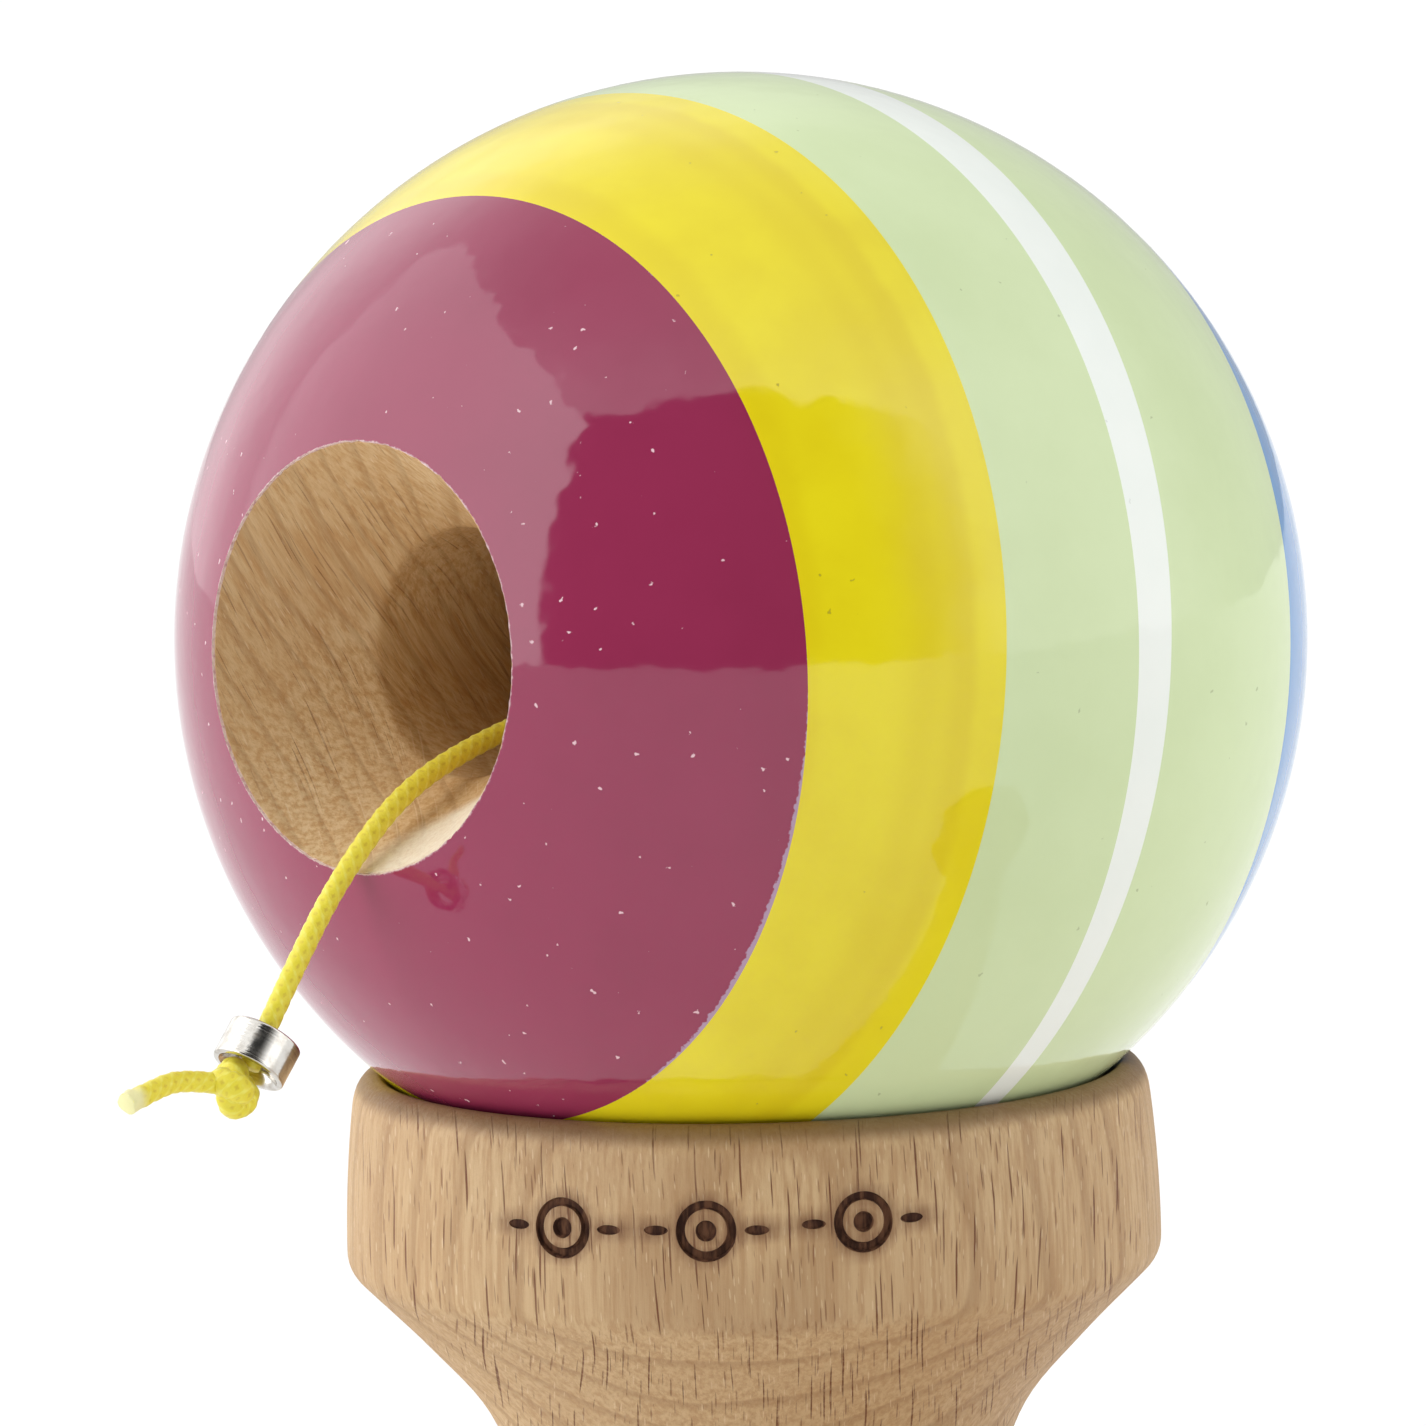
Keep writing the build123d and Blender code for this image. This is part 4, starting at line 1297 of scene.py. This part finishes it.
@dataclass
class PlayString:
    """The string from the crosspiece round its coil to the ball, with the bead and the knots."""

    coil_middle: tuple[float, float] = (-29.5, 27.0)
    outer: float = 6.5
    inner: float = 5.36
    low: float = 0.56
    high: float = 1.62
    per_turn: int = 16
    length: float = 0.366
    start_turn: float = 61.0
    end_turn: float = 350.0
    bead_radius: float = 1.93
    bead_hole: float = 1.2
    bead_length: float = 2.05
    knot_x: float = 4.0
    knot_y: float = -5.6
    knot_radius: float = 1.62
    knot_strand: float = 0.70  # the string is squeezed thicker than it lies free
    anchor_radius: float = 1.7
    braid: Braid = field(default_factory=Braid)
    path: list[Vector] = field(default_factory=list)

    def coil(self) -> list[tuple[float, float, float]]:
        """The put-away turns: two side by side on the table, and two on top of them."""
        whole = self.end_turn - self.start_turn + 3 * 360.0
        count = round(whole / 360.0 * self.per_turn)
        points = []
        for i in range(count + 1):
            gone = whole * i / count
            first = min(1.0, max(0.0, (gone - 305.0) / 50.0))
            rise = min(1.0, max(0.0, (gone - 615.0) / 55.0))
            last = min(1.0, max(0.0, (gone - 1025.0) / 50.0))
            radius = self.outer + (self.inner - self.outer) * first + (self.outer - self.inner - 0.06) * last
            angle = math.radians(self.start_turn + gone)
            points.append((self.coil_middle[0] + radius * math.cos(angle),
                           self.coil_middle[1] + radius * math.sin(angle),
                           self.low + (self.high - self.low) * rise))
        return points

    def build_string(self, material: bpy.types.Material) -> bpy.types.Object:
        """Builds the long string on its one smooth line.

        Args:
            material: Its finish.

        Returns:
            The piece.
        """
        route = LEAD_ROUTE + self.coil() + RISER_ROUTE[1:] + THROUGH_ROUTE
        points = self.braid.line(route)
        piece = self.braid.sweep("play_string", points)
        piece.data.materials.append(material)
        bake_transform(piece)
        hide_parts("string_lead", "string_coil", "string_riser", "string_through_ball")
        self.path = [p * MM for p in points]
        return piece

    def build_bead(self) -> bpy.types.Object:
        """The metal ring: a short tube with its ends countersunk and its edges eased."""
        half, soft, flare = self.bead_length / 2, 0.09, self.bead_radius - 0.3
        outside = [Vector((flare, -half)), Vector((self.bead_radius - soft, -half))]
        outside += between(outside[-1], Vector((self.bead_radius - soft * 0.3, -half + soft * 0.3)),
                           Vector((self.bead_radius, -half + soft)), 4)
        outside += [Vector((self.bead_radius, -half + soft + 0.05 * i)) for i in (1, 2)]
        lower = [Vector((self.bead_hole, -half + 0.62)), Vector((flare - 0.05, -half + 0.06))]
        upper_part = [Vector((p.x, -p.y)) for p in reversed(outside)]
        bm = turned(lower + outside + upper_part + [Vector((p.x, -p.y)) for p in reversed(lower)], 96)
        piece = finished(bm, "string_bead", Matrix.Translation(BEAD_PLACE)
                         @ BEAD_AXIS.to_track_quat("Z", "Y").to_matrix().to_4x4(), crease=50.0)
        piece.data.materials.append(BrightNickel().material())
        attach(piece, "bead")
        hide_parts("bead")
        return piece

    def knot(self, name: str, place: Vector, size: float, tilt: Matrix) -> bpy.types.Object:
        """An overhand knot pulled tight: the string crossing itself three times.

        Args:
            name: The piece's name.
            place: Its middle, in millimetres.
            size: The radius that it keeps within.
            tilt: How it lies.

        Returns:
            The piece.
        """
        scale = (size - self.knot_strand) / 3.0
        points = []
        for i in range(150):
            t = math.tau * (i / 150) + 0.12
            loop = Vector((math.sin(t) + 2 * math.sin(2 * t), math.cos(t) - 2 * math.cos(2 * t),
                           -1.15 * math.sin(3 * t)))
            points.append(place + tilt @ (loop * scale))
        braid = Braid(diameter=2 * self.knot_strand, step=self.braid.step)
        return braid.sweep(name, points)

    def build_ends(self, material: bpy.types.Material) -> list[bpy.types.Object]:
        """The knot under the bead and the tail beyond it."""
        tilt = Matrix.Rotation(math.radians(62), 4, "Y") @ Matrix.Rotation(math.radians(-38), 4, "X")
        knot = self.knot("bead_knot", KNOT_PLACE, self.knot_radius, tilt)
        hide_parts("end_knot")
        tail = self.braid.sweep("string_end", self.braid.line(TAIL_ROUTE), frayed=1.5)
        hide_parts("string_tail")
        for piece in (knot, tail):
            piece.data.materials.append(material)
            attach(piece, "ball")
        return [knot, tail]

    def build_anchor(self, material: bpy.types.Material) -> None:
        """The knot in the handle's recess and the string through the handle."""
        place = Vector((self.knot_x, self.knot_y, KEN_HEIGHT))
        knot = self.knot("handle_knot", place, self.anchor_radius, ACROSS)
        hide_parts("anchor_knot")
        route = [(self.knot_x, y, KEN_HEIGHT + lift) for y, lift in
                 ((self.knot_y, 0.0), (-2.0, 0.1), (2.5, -0.1), (7.3, 0.0))]
        inner = self.braid.sweep("string_in_handle", self.braid.line(route))
        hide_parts("string_in_ken")
        for piece in (knot, inner):
            piece.data.materials.append(material)
            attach(piece, "ken")

    def build(self) -> None:
        material = WaxedBraid().material()
        string = self.build_string(material)
        bead = self.build_bead()
        ends = self.build_ends(material)
        self.build_anchor(material)
        length = sum((b - a).length for a, b in zip(self.path, self.path[1:]))
        LOG.info("%s: %.4f m, %d faces", string.name, length, len(string.data.polygons))


# ------------------------------------------------------------------ studio


@dataclass
class Studio:
    """The camera, the pale table and the light tent round it.

    The tent is white cloth, and each part of it has its own brightness. A part's edges are tangents:
    how far along or up a direction goes for each unit that it goes towards the part.
    """

    front: Vector = Vector((0.6931, -0.7208, 0.0))
    right: Vector = Vector((0.7208, 0.6931, 0.0))
    softbox_turn: float = math.radians(-88.0)
    softbox: float = 2.7
    softbox_far_share: float = 0.72  # how bright its far end is beside its near end
    softbox_near: float = 1.09
    softbox_far: float = -0.70
    softbox_near_lean: float = 0.02
    softbox_far_lean: float = 0.27
    blur: float = 0.03
    ceiling: float = 2.3
    side: float = 1.7
    back_left: float = 1.4
    back: float = 0.55
    zenith: float = 0.45  # how bright the very top is beside the ceiling
    opening: float = 0.03
    ripple: float = 0.13  # how far folds in the cloth bend its edges
    table_half: float = 30000.0

    def camera(self) -> None:
        """The camera, level with the cup and a little above it."""
        data = bpy.data.cameras.new("camera")
        data.sensor_width = SENSOR_MM
        data.lens = LENS_MM
        data.clip_start = 0.02
        data.clip_end = 60.0
        camera = bpy.data.objects.new("camera", data)
        turn = Matrix((CAMERA_RIGHT, -CAMERA_DOWN, -CAMERA_FORWARD)).transposed().to_4x4()
        camera.matrix_world = Matrix.Translation(CAMERA_PLACE * MM) @ turn
        bpy.context.scene.collection.objects.link(camera)
        bpy.context.scene.camera = camera

    def table(self) -> None:
        """The white table, wide enough to have no edge in any view."""
        bm = bmesh.new()
        bmesh.ops.create_grid(bm, x_segments=2, y_segments=2, size=self.table_half)
        piece = finished(bm, "table")
        made, tree = new_material("matt_white_paper")
        tooth = add(tree, "TexNoise", {"Vector": in_millimetres(tree), "Scale": 0.4, "Detail": 3.0})
        colour = add(tree, "Mix", {0: tooth, 6: srgb("#f6f6f6"), 7: srgb("#f9f9f9")}, data_type="RGBA")
        shader = add(tree, "BsdfPrincipled", {"Base Color": colour, "Roughness": 0.9,
                                              "Specular IOR Level": 0.1})
        add(tree, "OutputMaterial", {"Surface": shader})
        piece.data.materials.append(made)
        piece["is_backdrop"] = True

    def directions(self, tree: bpy.types.NodeTree) -> dict[str, bpy.types.Node]:
        """How far a direction, bent a little by the cloth's folds, goes along each axis of the tent.

        Args:
            tree: The world's tree.

        Returns:
            A node for each named axis.
        """
        way = add(tree, "TexCoord").outputs["Generated"]
        folds = add(tree, "TexNoise", {"Vector": way, "Scale": 7.0, "Detail": 3.0}).outputs["Color"]
        folds = add(tree, "VectorMath", {0: folds, 1: (self.ripple,) * 3}, operation="MULTIPLY")
        way = add(tree, "VectorMath", {0: way, 1: folds}, operation="ADD")
        way = add(tree, "VectorMath", {0: way, 1: (self.ripple / 2,) * 3}, operation="SUBTRACT")
        cos, sin = math.cos(self.softbox_turn), math.sin(self.softbox_turn)
        axes = {
            "ahead": self.front,
            "across": self.right,
            "up": Vector((0, 0, 1)),
            "to_softbox": self.front * cos + self.right * sin,
            "along_softbox": self.right * cos - self.front * sin,
            "dim": (self.right * 0.45 - self.front * 0.9).normalized(),
        }
        return {name: add(tree, "VectorMath", {0: way, 1: axis}, operation="DOT_PRODUCT")
                for name, axis in axes.items()}

    def tangents(self, tree: bpy.types.NodeTree, along: bpy.types.Node, up: bpy.types.Node,
                 towards: bpy.types.Node) -> list[bpy.types.Node]:
        """How far along and up a direction goes for each unit that it goes towards a part.

        Args:
            tree: The world's tree.
            along: The direction's share along the part.
            up: Its share upwards.
            towards: Its share towards the part.

        Returns:
            The nodes that give the two tangents.
        """
        ahead = add(tree, "Math", {0: towards, 1: 0.001}, operation="MAXIMUM")
        return [add(tree, "Math", {0: share, 1: ahead}, operation="DIVIDE") for share in (along, up)]

    def world(self) -> None:
        """The light tent: a bright cloth on the left, a paler ceiling, and the opening in front."""
        world = bpy.data.worlds.new("tent")
        bpy.context.scene.world = world
        world.use_nodes = True
        tree = world.node_tree
        tree.nodes.clear()
        way = self.directions(tree)
        ahead, across, up = way["ahead"], way["across"], way["up"]

        u, v = self.tangents(tree, way["along_softbox"], up, way["to_softbox"])
        near, far = (add(tree, "Math", {0: v, 1: lean, 2: u}, operation="MULTIPLY_ADD")
                     for lean in (self.softbox_near_lean, self.softbox_far_lean))
        cloth = overlap(tree, (near, self.softbox_near + self.blur, self.softbox_near - self.blur),
                        (far, self.softbox_far - 3 * self.blur, self.softbox_far + self.blur),
                        (v, 1.45, 1.40), (way["to_softbox"], 0.0, 0.02))
        gap_u, gap_v = self.tangents(tree, across, up, ahead)
        gap = overlap(tree, (gap_v, 1.46, 1.38), (gap_u, 1.5, 0.45), (ahead, 0.02, 0.08))

        level = add(tree, "MapRange", {0: way["dim"], 1: 0.45, 2: 0.9, 3: self.side, 4: self.back}, **SMOOTH)
        over = overlap(tree, (up, 0.5, 0.8), (ahead, -0.15, 0.4))
        aside = overlap(tree, (across, -0.35, -0.75), (up, 0.9, 0.6))
        for share, other in ((over, self.ceiling), (aside, self.back_left)):
            level = add(tree, "Math", {0: share, 1: other - self.side, 2: level}, operation="MULTIPLY_ADD")
        top = add(tree, "MapRange", {0: up, 1: 0.5, 3: 1.0, 4: self.zenith}, **SMOOTH)
        level = add(tree, "Math", {0: level, 1: top}, operation="MULTIPLY")

        far_end = self.softbox * self.softbox_far_share
        lit = add(tree, "MapRange", {0: u, 1: -0.7, 2: 0.75, 3: far_end, 4: self.softbox}, **SMOOTH)
        for share, other in ((gap, self.opening), (cloth, lit)):
            without = add(tree, "Math", {0: 1.0, 1: share}, operation="SUBTRACT")
            level = add(tree, "Math", {0: level, 1: without}, operation="MULTIPLY")
            inside = add(tree, "Math", {0: share, 1: other}, operation="MULTIPLY")
            level = add(tree, "Math", {0: level, 1: inside}, operation="ADD")
        background = add(tree, "Background", {"Color": srgb("#ffffff"), "Strength": level})
        add(tree, "OutputWorld", {"Surface": background})

    def build(self) -> None:
        """Sets up the studio."""
        self.camera()
        self.table()
        self.world()
        view = bpy.context.scene.view_settings
        view.view_transform = "Standard"
        view.look = "None"


def main() -> None:
    """Builds the studio and every piece, and logs the sizes of both models."""
    logging.basicConfig(level=logging.INFO, format="%(relativeCreated)d %(name)s: %(message)s", force=True)
    cad_low, cad_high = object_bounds()
    Studio().build()
    PlayString().build()
    PaintedBall().build()
    Crosspiece().build()
    KenHandle().build()
    low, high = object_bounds()
    sizes = {"cad": [list(cad_low), list(cad_high)], "visual": [list(low), list(high)]}
    for name, (bottom, top) in sizes.items():
        LOG.info("%s model: %s to %s mm", name, [round(v / MM, 2) for v in bottom],
                 [round(v / MM, 2) for v in top])


if __name__ == "__main__":
    main()
